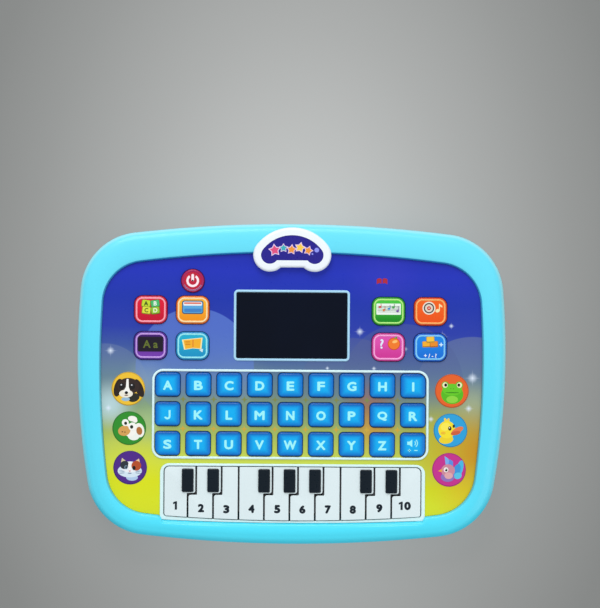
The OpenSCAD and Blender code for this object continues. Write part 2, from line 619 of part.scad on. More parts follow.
// Plates at both ends of each cell, one of them with a coil
plate_w = 8.4;
plate_h = 8;
module battery_contacts() color([0.8, 0.8, 0.75]) for (i = [0:2]) translate([0, cell_y(i), z_cell])
  rotate([0, 0, 180*(i % 2)]) for (s = [-1, 1]) {
    translate([s*(box_l/2 - contact_t/2 - seat), 0, -plate_h/2]) block(contact_t, plate_w, plate_h);
    if (s < 0) translate([-box_l/2 + contact_t/2 + seat, 0, 0]) rotate([0, 90, 0])
      cylinder(coil_l + contact_t/2, 3.6, 2.6, $fn = 32);
  }

// Loudspeaker face down: rim, basket and magnet
rim_t = 1.6;
magnet_z = 5;
magnet_h = 4.5;
module speaker() color([0.2, 0.2, 0.22]) translate([speaker_x, speaker_y, z_floor]) {
  difference() {
    cylinder(rim_t, speaker_d/2, speaker_d/2, $fn = 64);
    translate([0, 0, -cut])
      cylinder(rim_t + 2*cut, speaker_d/2 - speaker_rim, speaker_d/2 - speaker_rim, $fn = 64);
  }
  translate([0, 0, rim_t - eps])
    cylinder(magnet_z - rim_t + 2*eps, speaker_d/2 - 2, speaker_d/4 + 1, $fn = 64);
  translate([0, 0, magnet_z]) cylinder(magnet_h, speaker_d/4 + 2, speaker_d/4 + 2, $fn = 48);
}
speaker_top = z_floor + magnet_z + magnet_h;

// Board with its chips below, each [x, y, width, depth, height], and two stiff leads down to the speaker
chips = [[45, 20, 14, 14, 1.8], [60, -20, 9, 6, 1.5], [-20, 12, 9, 6, 1.5], [20, 45, 12, 12, 1.2]];
capacitor = [62, 5, 5, 6];
lead_x = 4;
lead_r = 0.5;
module circuit_board() {
  color([0.1, 0.4, 0.2]) difference() {
    plate(face_o, board_in, z_board, z_mat);
    for (p = post_at) translate([p.x, p.y, z_board - cut])
      cylinder(board_t + 2*cut, pin_r + fit_gap, pin_r + fit_gap, $fn = 32);
  }
  color([0.12, 0.12, 0.13]) {
    for (c = chips) translate([c[0], c[1], z_board - c[4]]) block(c[2], c[3], c[4] + eps);
    translate([capacitor[0], capacitor[1], z_board - capacitor[3]])
      cylinder(capacitor[3] + eps, capacitor[2]/2, capacitor[2]/2, $fn = 32);
  }
  color("firebrick") for (s = [-1, 1]) translate([speaker_x + s*lead_x, speaker_y, speaker_top])
    cylinder(z_board - speaker_top + eps, lead_r, lead_r, $fn = 24);
}

// Dot matrix display under the window
led_pitch = 4.2;
led_d = 2.5;
led_h = 0.2;
led_gap = 0.5; // round the display, in the deck's opening
led_w = window_w - 2*window_ledge - 2*led_gap;
led_l = window_d - 2*window_ledge - 2*led_gap;
led_nx = floor((led_w - 1)/led_pitch);
led_ny = floor((led_l - 1)/led_pitch);
led_top = z_film - 2*led_h;
module led_matrix() {
  color([0.05, 0.06, 0.08]) translate([0, window_y, z_mat]) block(led_w, led_l, led_top - z_mat);
  color([0.3, 0.32, 0.35]) for (i = [0:led_nx - 1]) for (j = [0:led_ny - 1])
    translate([(i - (led_nx - 1)/2)*led_pitch, window_y + (j - (led_ny - 1)/2)*led_pitch, led_top - eps])
      cylinder(led_h + eps, led_d/2, led_d/2, $fn = 24);
}

window_radii = [1, 1, 1, 1];
module screen_window() color([0.05, 0.09, 0.15]) translate([0, window_y, z_film])
  slab(window_w, window_d, grown(window_radii, -fit_gap), window_t);

// Contact mat: a dome under every key, and a tall plunger under every touch picture
mat_in = 0.6; // mat's edge, inside the board's
piano_dome = 7; // domes of the piano, below the keys' steps
module dome_mat() color([0.75, 0.76, 0.78]) {
  difference() {
    plate(face_o, board_in + mat_in, z_mat, z_mat + mat_t);
    for (p = post_at) translate([p.x, p.y, z_mat - cut])
      cylinder(mat_t + 2*cut, post_r + plunger_gap, post_r + plunger_gap, $fn = 32);
    translate([0, window_y, z_mat - cut]) block(window_w, window_d, mat_t + 2*cut);
  }
  for (i = [0:columns*rows - 1]) dome(key_at(i));
  for (i = [0:len(mode_nodes) - 1]) dome(mode_at(i));
  dome([power_x, power_y]);
  for (i = [0:piano_count - 1]) dome([(bound(i) + bound(i + 1))/2, jog_y - piano_dome]);
  for (p = touch_at) translate([p.x, p.y, z_mat])
    cylinder(z_film - seat - z_mat, plunger_r, plunger_r, $fn = 48);
}
module dome(p) translate([p.x, p.y, z_mat]) cylinder(z_key - dome_gap - z_mat, dome_r, dome_r*0.7, $fn = 32);
dome_r = 4.4;

// Face film with the raised frames
touch_h = 0.2; // height of the touch pictures
frame_end = 5; // the piano's frame runs on under the bezel by this, then is trimmed to the film
letters_w = (columns - 1)*key_pitch_x + key_w + 2*frame_room;
letters_d = (rows - 1)*key_pitch_y + key_d + 2*frame_room;
module face_overlay() {
  color([0.25, 0.35, 0.7]) difference() {
    plate(face_o, fit_gap, z_film, z_face);
    openings(z_film - cut, z_face + cut);
    translate([0, window_y, z_film - cut])
      slab(window_w + 2*fit_gap, window_d + 2*fit_gap, window_radii, film_t + 2*cut);
  }
  color([0.86, 1, 1]) {
    frame_ring([keys_x, keys_y], letters_w, letters_d, key_outer_r + frame_room);
    frame_ring([0, window_y], window_w + 2*fit_gap, window_d + 2*fit_gap, window_radii[0]);
    translate([0, 0, z_face - film_t/2]) linear_extrude(frame_h + film_t/2) difference() {
      intersection() {
        polygon(rounded([[piano_end + piano_side, face_bottom(piano_end) - frame_end, 0],
                         [piano_end + piano_side, piano_y + frame_w + key_gap, end_r + piano_side],
                         [piano_x - piano_side, piano_y + frame_w + key_gap, end_r + piano_side],
                         [piano_x - piano_side, face_bottom(piano_x) - frame_end, 0]]));
        polygon(ring(face_o, fit_gap));
      }
      polygon(keyboard(key_gap, end_r + key_gap));
    }
  }
  color([0.9, 0.8, 0.2]) for (p = touch_at) translate([p.x, p.y, z_face - film_t/2])
    cylinder(touch_h + film_t/2, touch_d/2, touch_d/2, $fn = 64);
}
module frame_ring(at, w, d, r) translate([at.x, at.y, z_face - film_t/2]) difference() {
  slab(w + 2*frame_w, d + 2*frame_w, grown([r, r, r, r], frame_w), frame_h + film_t/2);
  translate([0, 0, -cut]) slab(w, d, [r, r, r, r], frame_h + film_t/2 + 2*cut);
}

rear_shell();
front_shell();
face_overlay();
badge();
screen_window();
led_matrix();
circuit_board();
dome_mat();
speaker();
batteries();
battery_contacts();
battery_door();
case_screws();
rubber_feet();
power_button();
for (i = [0:len(letter_nodes) - 1]) letter_key(i);
for (i = [0:len(piano_nodes) - 1]) piano_key(i);
for (i = [0:len(mode_nodes) - 1]) mode_button(i);
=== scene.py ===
import json
import math
import string
import bmesh
import bpy
import numpy as np
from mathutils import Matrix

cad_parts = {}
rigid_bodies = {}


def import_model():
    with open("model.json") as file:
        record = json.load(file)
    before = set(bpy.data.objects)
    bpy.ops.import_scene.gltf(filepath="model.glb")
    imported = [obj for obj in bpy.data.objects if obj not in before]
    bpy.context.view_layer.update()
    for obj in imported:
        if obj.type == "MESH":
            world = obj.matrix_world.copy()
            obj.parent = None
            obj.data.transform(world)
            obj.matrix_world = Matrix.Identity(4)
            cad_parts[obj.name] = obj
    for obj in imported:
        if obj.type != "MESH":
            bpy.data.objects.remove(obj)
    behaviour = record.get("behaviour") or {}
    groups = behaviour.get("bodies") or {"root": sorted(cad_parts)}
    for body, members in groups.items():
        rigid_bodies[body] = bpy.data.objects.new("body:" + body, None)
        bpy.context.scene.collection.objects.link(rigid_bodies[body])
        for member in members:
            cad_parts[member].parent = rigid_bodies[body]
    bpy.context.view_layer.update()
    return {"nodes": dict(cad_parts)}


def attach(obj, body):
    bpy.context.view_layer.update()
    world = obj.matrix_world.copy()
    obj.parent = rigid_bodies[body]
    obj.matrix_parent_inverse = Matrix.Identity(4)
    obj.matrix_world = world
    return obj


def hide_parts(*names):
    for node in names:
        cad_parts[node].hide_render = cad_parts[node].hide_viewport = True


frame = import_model()
mm = 0.001  # lengths are in millimetres unless they are turned into metres by this

sharpAngle, weldGap = 38, 0.002  # edges bent more than this many degrees stay crisp; closer vertices are joined
proud = 0.03  # printing stands this much above what it is printed on
# Heights above the table, as the frame has them
heights = {"back": 1.2, "floor": 3.2, "split": 11.0, "key": 19.9, "deck": 20.6, "film": 22.4, "face": 22.9, "top": 25.5}


# sRGB 0-255 to linear: divided by 255, then the power curve with its short straight foot
def linear(colour):
    c = np.array(colour[:3], float)/255
    c = np.where(c <= 0.04045, c/12.92, ((c + 0.055)/1.055)**2.4)
    return (float(c[0]), float(c[1]), float(c[2]), 1.0)


# A shade of a colour: below 1 it is multiplied down, above 1 it moves towards white
def shade(colour, amount):
    c = np.array(colour, float)
    return tuple(c*amount) if amount <= 1 else tuple(c + (255 - c)*(amount - 1))


# A node with its inputs, each a value or the socket that is linked to it
def addNode(tree, kind, inputs=None, **settings):
    made = tree.nodes.new(kind)
    for key, value in settings.items():
        setattr(made, key, value)
    for key, value in (inputs or {}).items():
        if isinstance(value, bpy.types.NodeSocket):
            tree.links.new(value, made.inputs[key])
        else:
            made.inputs[key].default_value = value
    return made


# One operation on one or two values
def mathNode(tree, operation, a, b=0.0):
    return addNode(tree, "ShaderNodeMath", {0: a, 1: b}, operation=operation).outputs[0]


# a (1 - factor) + b factor, or another way to blend
def mixColour(tree, factor, a, b, blend="MIX"):
    return addNode(tree, "ShaderNodeMix", {0: factor, 6: a, 7: b}, data_type="RGBA", blend_type=blend).outputs[2]


# A colour laid over a tone, as strong as a mask times a share
def layOver(tree, tone, mask, share, colour):
    return mixColour(tree, mathNode(tree, "MULTIPLY", mask, share), tone, linear(colour))


# 0 at low, 1 at high and an S curve between them; low may be the larger of the two
def smoothStep(tree, value, low, high):
    return addNode(tree, "ShaderNodeMapRange", {0: value, 1: low, 2: high},
                   interpolation_type="SMOOTHSTEP").outputs[0]


# Colour by value, straight between stops of (value, colour)
def ramp(tree, value, stops):
    made = addNode(tree, "ShaderNodeValToRGB", {0: value})
    points = made.color_ramp.elements
    while len(points) < len(stops):
        points.new(0.5)
    for point, (place, colour) in zip(points, stops):
        point.position = place
        point.color = linear(colour)
    return made.outputs[0]


# The x, y and z of a vector
def axes(tree, vector):
    return addNode(tree, "ShaderNodeSeparateXYZ", {0: vector}).outputs


# One operation on vectors, all its outputs
def vectorNode(tree, operation, inputs):
    return addNode(tree, "ShaderNodeVectorMath", inputs, operation=operation).outputs


# Position on a piece's own flat map, -1 to 1 each way
def mapAxes(tree):
    return axes(tree, addNode(tree, "ShaderNodeUVMap", uv_map="face").outputs[0])


# Soft noise, 0 to 1; scale counts its waves in a metre
def noiseAt(tree, place, scale, detail=2.0):
    return addNode(tree, "ShaderNodeTexNoise", {"Vector": place, "Scale": scale, "Detail": detail}).outputs["Fac"]


# Two shades mixed by soft noise
def mottled(tree, place, scale, a, b):
    return mixColour(tree, noiseAt(tree, place, scale), linear(a), linear(b))


# A material, its node tree and the place on the object, in metres
def newMaterial(name, roughness, metallic=0.0, coat=0.0, specular=0.35):
    material = bpy.data.materials.new(name)
    material.use_nodes = True
    tree = material.node_tree
    surface = tree.nodes["Principled BSDF"].inputs
    for socket, value in (("Roughness", roughness), ("Metallic", metallic), ("Specular IOR Level", specular),
                          ("Coat Weight", coat), ("Coat Roughness", 0.12)):
        surface[socket].default_value = value
    return material, tree, addNode(tree, "ShaderNodeTexCoord").outputs["Object"]


# Links a tone to the surface's colour
def paint(tree, tone):
    tree.links.new(tone, tree.nodes["Principled BSDF"].inputs["Base Color"])


# Colour with a fine grain: noise in object space drives a bump and moves the roughness a little
def paintGrained(tree, place, tone, scale, height, roughness, spread):
    paint(tree, tone)
    surface = tree.nodes["Principled BSDF"].inputs
    noise = noiseAt(tree, place, scale, 3.0)
    bump = addNode(tree, "ShaderNodeBump", {"Height": noise, "Distance": height, "Strength": 0.6})
    rough = addNode(tree, "ShaderNodeMapRange",
                    {0: noise, 1: 0.3, 2: 0.7, 3: roughness - spread, 4: roughness + spread})
    tree.links.new(bump.outputs[0], surface["Normal"])
    tree.links.new(rough.outputs[0], surface["Roughness"])


# Moulded plastic: two close shades in broad soft noise, over a fine grain
def plastic(name, colour, roughness, spread=0.04, scale=900.0, height=0.00001, coat=0.0, vary=0.04):
    material, tree, place = newMaterial(name, roughness, coat=coat)
    tone = mottled(tree, place, 35.0, shade(colour, 1 - vary), shade(colour, 1 + vary))
    paintGrained(tree, place, tone, scale, height, roughness, spread)
    return material


# Two shades in soft noise, without grain
def sheer(name, scale, a, b, roughness, **settings):
    material, tree, place = newMaterial(name, roughness, **settings)
    paint(tree, mottled(tree, place, scale, a, b))
    return material


inks = {}


# Printing ink, one material for each colour that is used
def ink(colour):
    key = "ink_%02x%02x%02x" % tuple(int(c) for c in colour)
    if key not in inks:
        inks[key] = plastic(key, colour, 0.38, scale=1500.0, height=0.000004, vary=0.02)
    return inks[key]


# A part of a piece is (vertices, faces, number of its material). Rings of equal length are joined by quads,
# i.e. a surface over the grid (ring, place on ring), and its ends are closed by one face each
def loft(rings, material=0, capLow=True, capHigh=True, closed=False):
    rings = np.asarray(rings, float)
    m, n = rings.shape[:2]
    if not np.isscalar(material):  # one number for each step from ring to ring
        caps = 0 if closed else capLow + capHigh
        material = np.concatenate([np.repeat(material, n), np.full(caps, material[0])])
    i = np.arange(m if closed else m - 1)[:, None]
    j = np.arange(n)[None, :]
    nextJ, nextI = (j + 1) % n, (i + 1) % m
    quads = np.stack([i*n + j, i*n + nextJ, nextI*n + nextJ, nextI*n + j], -1).reshape(-1, 4).tolist()
    if capLow and not closed:
        quads.append(list(range(n))[::-1])
    if capHigh and not closed:
        quads.append(list(range((m - 1)*n, m*n)))
    return rings.reshape(-1, 3), quads, material


# A flat path lifted to a height: z joins x and y
def lifted(path, z):
    path = np.asarray(path, float)
    return np.column_stack([path[:, :2], np.full(len(path), float(z))])


# A path carried straight up from one height to another, with or without its ends
def slab(path, low, high, material=0, **ends):
    return loft([lifted(path, low), lifted(path, high)], material, **ends)


# Rings from a profile of (inset, height): the path with each inset at its height
def ringsOf(pathAt, profile):
    return [lifted(pathAt(inset), z) for inset, z in profile]


# Profile of a rounded shoulder with radius r: an inset of r (1 - cos a) at a height of top - r (1 - sin a)
def shoulder(top, r, steps, last=90):
    return [(r*(1 - math.cos(a)), top - r*(1 - math.sin(a))) for a in np.radians(np.linspace(0, last, steps))]


# Circles of radius r at height z about an upright axis
def turned(profile, middle, material=0, n=64, **ends):
    return loft(ringsOf(lambda r: circle(r, middle, n), profile), material, **ends)


# Vertices of a mesh, and the vertex at each corner of its faces
def readMesh(mesh):
    verts, corners = np.empty(len(mesh.vertices)*3), np.empty(len(mesh.loops), int)
    mesh.vertices.foreach_get("co", verts)
    mesh.loops.foreach_get("vertex_index", corners)
    return verts.reshape(-1, 3)/mm, corners


# Vertices and faces of the mesh that a curve or a text gives
def takeMesh(curve):
    holder = bpy.data.objects.new("holder", curve)
    mesh = bpy.data.meshes.new_from_object(holder)
    verts, corners = readMesh(mesh)
    starts = np.empty(len(mesh.polygons), int)
    mesh.polygons.foreach_get("loop_start", starts)
    for block, group in ((holder, bpy.data.objects), (mesh, bpy.data.meshes), (curve, bpy.data.curves)):
        group.remove(block)
    return verts, [face.tolist() for face in np.split(corners, starts[1:])]


# A flat plate with holes: the first path is its edge and the others are holes; its edges may be rounded
def plate(paths, low, high, material=0, edge=0.0):
    curve = bpy.data.curves.new("plate", "CURVE")
    curve.dimensions = "2D"
    curve.fill_mode = "BOTH"
    curve.extrude = ((high - low)/2 - edge)*mm
    if edge > 0:
        curve.bevel_depth = edge*mm
        curve.bevel_resolution = 2
        curve.offset = -edge*mm
    for path in paths:
        path = np.asarray(path, float)
        spline = curve.splines.new("POLY")
        spline.points.add(len(path) - 1)
        points = np.column_stack([path[:, :2]*mm, np.zeros(len(path)), np.ones(len(path))])
        spline.points.foreach_set("co", points.ravel())
        spline.use_cyclic_u = True
    verts, faces = takeMesh(curve)
    verts[:, 2] += (low + high)/2
    return verts, faces, material


# Lettering, its middle on a point and its height scaled to a size; it is made bold by copies of it
# shifted round a small circle, each a hair lower than the last
def lettering(words, size, middle, low, high, material, bold, width=None):
    curve = bpy.data.curves.new("letters", "FONT")
    curve.body = words
    curve.size = 1.0
    curve.extrude = 0.01
    curve.resolution_u = 4
    verts, faces = takeMesh(curve)
    lo, hi = verts.min(0), verts.max(0)
    scale = (size - 2*bold)/(hi[1] - lo[1])
    wide = scale if width is None else (width - 2*bold)/(hi[0] - lo[0])
    spread = [wide, scale, (high - low)/(hi[2] - lo[2])]
    verts = (verts - (lo + hi)/2)*spread + [middle[0], middle[1], (low + high)/2]
    copies, drop = np.arange(8), 0.002
    turns = np.radians(copies*360/len(copies))
    shifts = np.column_stack([bold*np.cos(turns), bold*np.sin(turns), -drop*copies])
    every = [[v + c*len(verts) for v in face] for c in copies.tolist() for face in faces]
    return (verts[None] + shifts[:, None]).reshape(-1, 3), every, material


# An object put into the scene
def addObject(name, data):
    made = bpy.data.objects.new(name, data)
    bpy.context.scene.collection.objects.link(made)
    return made


# One object from parts; uvBox = (middle x, middle y, half width, half depth) lays a flat map over it, -1 to 1
def makePiece(name, parts, materials, replaced=(), body="body", uvBox=None, weld=True):
    verts = np.concatenate([part[0] for part in parts])
    offsets = np.cumsum([0] + [len(part[0]) for part in parts])
    faces = [[v + offset for v in face] for part, offset in zip(parts, offsets.tolist()) for face in part[1]]
    slots = np.concatenate([np.broadcast_to(part[2], len(part[1])) for part in parts])
    mesh = bpy.data.meshes.new(name)
    mesh.from_pydata((verts*mm).tolist(), [], faces)
    mesh.polygons.foreach_set("material_index", slots.astype(np.int32))
    for material in materials:
        mesh.materials.append(material)
    work = bmesh.new()
    work.from_mesh(mesh)
    if weld:
        bmesh.ops.remove_doubles(work, verts=work.verts, dist=weldGap*mm)
    bmesh.ops.recalc_face_normals(work, faces=work.faces)
    work.to_mesh(mesh)
    work.free()
    mesh.polygons.foreach_set("use_smooth", np.ones(len(mesh.polygons), bool))
    mesh.set_sharp_from_angle(angle=math.radians(sharpAngle))
    if uvBox is not None:
        places, corners = readMesh(mesh)
        layer = mesh.uv_layers.new(name="face")
        layer.data.foreach_set("uv", ((places[corners, :2] - uvBox[:2])/uvBox[2:]).ravel())
    made = addObject(name, mesh)
    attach(made, body)
    if replaced:
        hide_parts(*replaced)


# Points on an arc: centre + r (cos a, sin a) for angles a from a0 to a1 in degrees
def arc(centre, r, a0, a1, n):
    a = np.radians(np.linspace(a0, a1, n + 1))
    return np.array(centre, float) + r*np.column_stack([np.cos(a), np.sin(a)])


# A band along an arc, from r - w/2 to r + w/2
def arcBand(centre, r, w, a0, a1, n):
    return np.concatenate([arc(centre, r + w/2, a0, a1, n), arc(centre, r - w/2, a0, a1, n)[::-1]])


# Closed circle of n points
def circle(r, middle, n=32):
    return arc(middle, r, 0, 360, n)[:-1]


# Turns points by an angle in degrees: (x cos - y sin, x sin + y cos)
def turnedBy(points, angle):
    c, s = math.cos(math.radians(angle)), math.sin(math.radians(angle))
    return np.asarray(points) @ np.array([[c, s], [-s, c]])


# Ellipse (a cos t, b sin t), turned by an angle and moved to (x, y)
def ellipse(x, y, a, b, turn, n=36):
    t = np.linspace(0, 2*math.pi, n, endpoint=False)
    return turnedBy(np.column_stack([a*np.cos(t), b*np.sin(t)]), turn) + (x, y)


# Star: points on a circle, every second one pulled in to the share inner of the radius
def star(x, y, r, tips, inner, turn=90):
    a = np.radians(turn + np.arange(2*tips)*180/tips)
    rr = np.where(np.arange(2*tips) % 2 == 0, r, r*inner)
    return np.column_stack([x + rr*np.cos(a), y + rr*np.sin(a)])


# Direction from c to p, in degrees
def bearing(c, p):
    return math.degrees(math.atan2(p[1] - c[1], p[0] - c[0]))


# Centre of a circle that touches two larger ones from inside: it lies d1 and d2 from their centres
def touching(c1, d1, c2, d2, near):
    v = c2 - c1
    d = np.hypot(*v)
    a = (d1*d1 - d2*d2 + d*d)/(2*d)
    h = math.sqrt(d1*d1 - a*a)
    foot, side = c1 + v*a/d, np.array([-v[1], v[0]])/d*h
    return min(foot + side, foot - side, key=lambda point: np.hypot(*(point - near)))


# Outline of eight tangent arcs, each sampled n times (the lowest fine times that), moved inwards by inset
def outline(o, inset, n=20, fine=1):
    top = np.array([0, o["top"] - o["topRadius"]])
    low = np.array([0, o["bottom"] + o["bottomRadius"]])
    right = np.array([o["half"] - o["sideRadius"], o["sideMiddle"]])
    upper = touching(top, o["topRadius"] - o["upperCorner"], right, o["sideRadius"] - o["upperCorner"],
                     (o["half"], o["top"]))
    lower = touching(low, o["bottomRadius"] - o["lowerCorner"], right, o["sideRadius"] - o["lowerCorner"],
                     (o["half"], o["bottom"]))
    flip = np.array([-1, 1])
    aLow, aHigh = bearing(right, lower), bearing(right, upper)
    aTop, aBottom = bearing(top, upper), bearing(low, lower)
    arcs = [(right, "sideRadius", aLow, aHigh), (upper, "upperCorner", aHigh, aTop),
            (top, "topRadius", aTop, 180 - aTop), (upper*flip, "upperCorner", 180 - aTop, 180 - aHigh),
            (right*flip, "sideRadius", 180 - aHigh, 180 - aLow), (lower*flip, "lowerCorner", 180 - aLow, 180 - aBottom),
            (low, "bottomRadius", 180 - aBottom, 360 + aBottom), (lower, "lowerCorner", 360 + aBottom, 360 + aLow)]
    return np.concatenate([arc(c, o[r] - inset, a0, a1, n*fine if k == 6 else n)[:-1]
                           for k, (c, r, a0, a1) in enumerate(arcs)])


caseOutline = {"half": 119.68, "top": 89.4, "bottom": -89.4, "topRadius": 734, "bottomRadius": 744,
               "sideRadius": 430, "sideMiddle": 16.5, "upperCorner": 34, "lowerCorner": 35}
faceOutline = {"half": 106.4, "top": 73.1, "bottom": -77.6, "topRadius": 655, "bottomRadius": 659,
               "sideRadius": 505, "sideMiddle": 11.3, "upperCorner": 23.8, "lowerCorner": 23.8}


# Rectangle with rounded corners: a quarter circle at each corner, anticlockwise from the upper right. An inset
# below 0 grows it
def roundedBox(w, d, radii, middle, inset=0.0, n=8):
    radii = [radii]*4 if np.isscalar(radii) else radii
    rings = []
    for k, ((sx, sy), r) in enumerate(zip([(1, 1), (-1, 1), (-1, -1), (1, -1)], radii)):
        keep = max(r - inset, 0.15)
        rings.append(arc((sx*(w/2 - inset - keep), sy*(d/2 - inset - keep)), keep, 90*k, 90*k + 90, n))
    return np.concatenate(rings) + middle


# Closed path with rounded corners: each corner [x, y, radius] becomes an arc tangent to both of its sides
def rounded(corners):
    points = []
    for k, (x, y, r) in enumerate(corners):
        c = np.array([x, y], float)
        before, after = np.array(corners[k - 1][:2]) - c, np.array(corners[(k + 1) % len(corners)][:2]) - c
        u, v = before/np.hypot(*before), after/np.hypot(*after)
        half = math.acos(np.clip(u @ v, -1, 1))/2
        middle = c + (u + v)/np.hypot(*(u + v))*r/math.sin(half)
        start = bearing(middle, c + u*r/math.tan(half))
        turn = (-1 if u[0]*v[1] - u[1]*v[0] > 0 else 1)*(180 - 2*math.degrees(half))
        points.append(arc(middle, r, start, start + turn, 5))
    return np.concatenate(points)


# Painted light in the case colours: the lip colours are painted shade at the lip's foot, deepest at the top; the low
# colour is painted light that brightens the bottom edge; the pale and deep edge colours are a painted highlight and
# painted shade where the case rounds over
case = {"edge": 5.2, "lip": 1.9, "foot": 1.8, "crown": 0.45, "seam": 0.3, "wall": 2.0, "backEdge": 5.0,
        "colour": (88, 222, 250), "lipShadeColour": (91, 188, 206), "lipShadeUpper": (5, 124, 199), "backColour": (86, 219, 248),
        "lowPaintedLight": (76, 228, 255), "paintedEdgeHighlight": (190, 250, 255), "paintedEdgeShade": (40, 220, 255),
        "paintedUpperFrom": -0.02, "paintedUpperTo": 0.09, "paintedLowFrom": -0.05, "paintedLowTo": -0.086, "inside": 2.4, "lipSteps": (22, 26),
        "handOver": 84, "start": 0.9}


# Case plastic: soft noise of two close shades, then painted light along y in metres: towards the top edge a painted
# highlight (a painted shadow on the lip), and at the bottom edge a brighter colour where less light falls. Where it
# rounds over, a painted highlight makes it paler, or painted shade deeper where it faces the bottom edge
def makeCaseMaterial(name, colour, roughness, upper, paintedEdgeShare=0.0):
    material, tree, place = newMaterial(name, roughness, coat=0.08)
    y = axes(tree, place)[1]
    tone = mottled(tree, place, 18.0, shade(colour, 0.99), shade(colour, 1.03))
    # the top tone is a painted highlight on the bezel and back, and a painted shadow on the lip; the bottom tone is
    # painted light
    tone = mixColour(tree, smoothStep(tree, y, case["paintedUpperFrom"], case["paintedUpperTo"]), tone, linear(shade(upper, 1.1)))
    tone = mixColour(tree, smoothStep(tree, y, case["paintedLowFrom"], case["paintedLowTo"]), tone, linear(case["lowPaintedLight"]))
    normal = axes(tree, addNode(tree, "ShaderNodeTexCoord").outputs["Normal"])
    # painted highlight where the surface rounds over towards the top, painted shade where it faces the bottom edge
    bend = mathNode(tree, "MULTIPLY", smoothStep(tree, normal[2], 0.9, 0.5), smoothStep(tree, normal[2], 0.0, 0.4))
    paintedEdgeTone = mixColour(tree, smoothStep(tree, normal[1], 0.1, -0.5), linear(case["paintedEdgeHighlight"]),
                         linear(case["paintedEdgeShade"]))
    tone = mixColour(tree, mathNode(tree, "MULTIPLY", bend, paintedEdgeShare), tone, paintedEdgeTone)
    paintGrained(tree, place, tone, 700.0, 0.00001, roughness, 0.04)
    return material


bezelMaterial = makeCaseMaterial("bezelBlue", case["colour"], 0.34, case["colour"], 0.55)
# The lip's colours are painted shade at its foot, where the bezel meets the print, deepest along the top edge
lipShadeMaterial = makeCaseMaterial("lipPaintedShade", case["lipShadeColour"], 0.3, case["lipShadeUpper"])
backMaterial = makeCaseMaterial("backBlue", case["backColour"], 0.4, case["backColour"])
# The deck is the case plastic darkened: painted shade in the gaps round the keys and buttons
deckShadedMaterial = plastic("deckPaintedShade", shade(case["colour"], 0.55), 0.5)

# What stands in the face: middles, sizes, corner radii and heights above it. Names in -In are distances inwards
# from an edge and names in -Down are depths below the top; shine and ring are (inset or radius, width, from, to)
keyBlock = {"columns": 9, "pitchX": 17.1, "pitchY": 16.45, "x": -0.5, "y": -17.0, "w": 13.8, "d": 13.4,
            "r": 2.3, "outerR": 4.2, "rise": 1.6, "gap": 0.35, "flange": 1.0, "flangeT": 0.5}
modeSet = {"shift": -0.7, "x": 66.3, "y": 31.0, "pitchX": 23.4, "pitchY": 20.0, "w": 18.4, "d": 15.6, "r": 4.6,
           "rise": 1.5, "fillet": 0.8, "capDown": 0.35, "lineIn": 1.8, "lineW": 0.95, "lineH": 0.3, "lineDown": 0.36,
           "panelIn": 1.75, "panelDown": 0.28, "artDown": 0.3, "artStep": 0.03, "bold": 0.035}
power = {"x": -55.4, "y": 57.3, "d": 12.8, "rise": 1.5, "flange": 0.7, "fillet": 0.9, "well": 0.18, "dish": 1.5,
         "shine": (1.1, 0.7, 205, 335), "ring": (2.925, 1.25, 124, 416), "bar": (1.45, 4.1, 0.6), "barUp": 1.7}
screen = {"w": 61.6, "d": 36.5, "y": 32.7, "t": 0.9, "gap": 0.2, "r": 0.8, "ledge": 2.0, "round": 0.15}
touchSet = {"shift": -0.7, "x": 89.6, "lean": 0.65, "y": -25.2, "pitch": 22.0, "d": 18.8, "rise": 0.2, "rim": 0.55,
            "artDown": 0.02, "artStep": 0.012, "artScale": 0.0097}
piano = {"x": -70.5, "w": 143.0, "top": -46.3, "pitch": 14.19, "first": 13.1, "gap": 0.7, "jogW": 4.7, "jogD": 15.2,
         "blockW": 6.6, "blockD": 13.1, "blockH": 1.0, "rise": 1.3, "rim": 1.6, "endR": 2.6, "side": 2.4, "dip": 2.5,
         "flare": 1.6, "lowSide": -60, "follow": 0.6, "keyT": 1.2, "round": 0.22, "shadeInset": 0.14, "smallR": 0.25,
         "wideR": 1.3, "jogR": 0.5, "blockIn": 1.1, "blockR": 0.9, "blockFillet": 0.6,
         "blocks": [True, True, False, True, True, True, False, True, True, False]}


# Middle of letter key k, counted along the rows from the upper left
def keyPlace(k):
    row, column = divmod(k, keyBlock["columns"])
    return np.array([keyBlock["x"] + (column - 4)*keyBlock["pitchX"], keyBlock["y"] + (1 - row)*keyBlock["pitchY"]])


# Corner radii of a key, larger where it stands in a corner of the block
def keyRadii(k):
    return [keyBlock["outerR"] if k == corner else keyBlock["r"] for corner in (8, 0, 18, 26)]


# Middle of mode button k: 0 to 3 to the left of the screen and 4 to 7 to its right, in rows of two
def modePlace(k):
    return np.array([modeSet["shift"] + (-1 if k < 4 else 1)*modeSet["x"] + (k % 2 - 0.5)*modeSet["pitchX"],
                     modeSet["y"] + (0.5 - (k//2) % 2)*modeSet["pitchY"]])


# Height of the face's bowed bottom edge at x
def faceBottom(x):
    return faceOutline["bottom"] + faceOutline["bottomRadius"] - np.sqrt(faceOutline["bottomRadius"]**2 - x*x)


# The face's lower edge dips under the keyboard: by x squared up to the keyboard's ends, then quickly back to nothing
def dipAt(x):
    half = piano["w"]/2 + piano["side"]
    far = np.abs(np.asarray(x, float) - piano["x"] - piano["w"]/2)
    ease = np.clip((half + 0.1*piano["flare"] - far)/piano["flare"], 0, 1)
    return piano["dip"]*np.minimum(far/half, 1)**2*ease*ease*(3 - 2*ease)


# A ring with the dip, or a share of it, taken off its lower side
def dipped(ring, share=1.0):
    low = ring[:, 1] < piano["lowSide"]
    ring[low, 1] -= dipAt(ring[low, 0])*share
    return ring


# The face's edge with its dip, moved outwards
def lipPath(outset):
    return dipped(outline(faceOutline, -outset, fine=8))


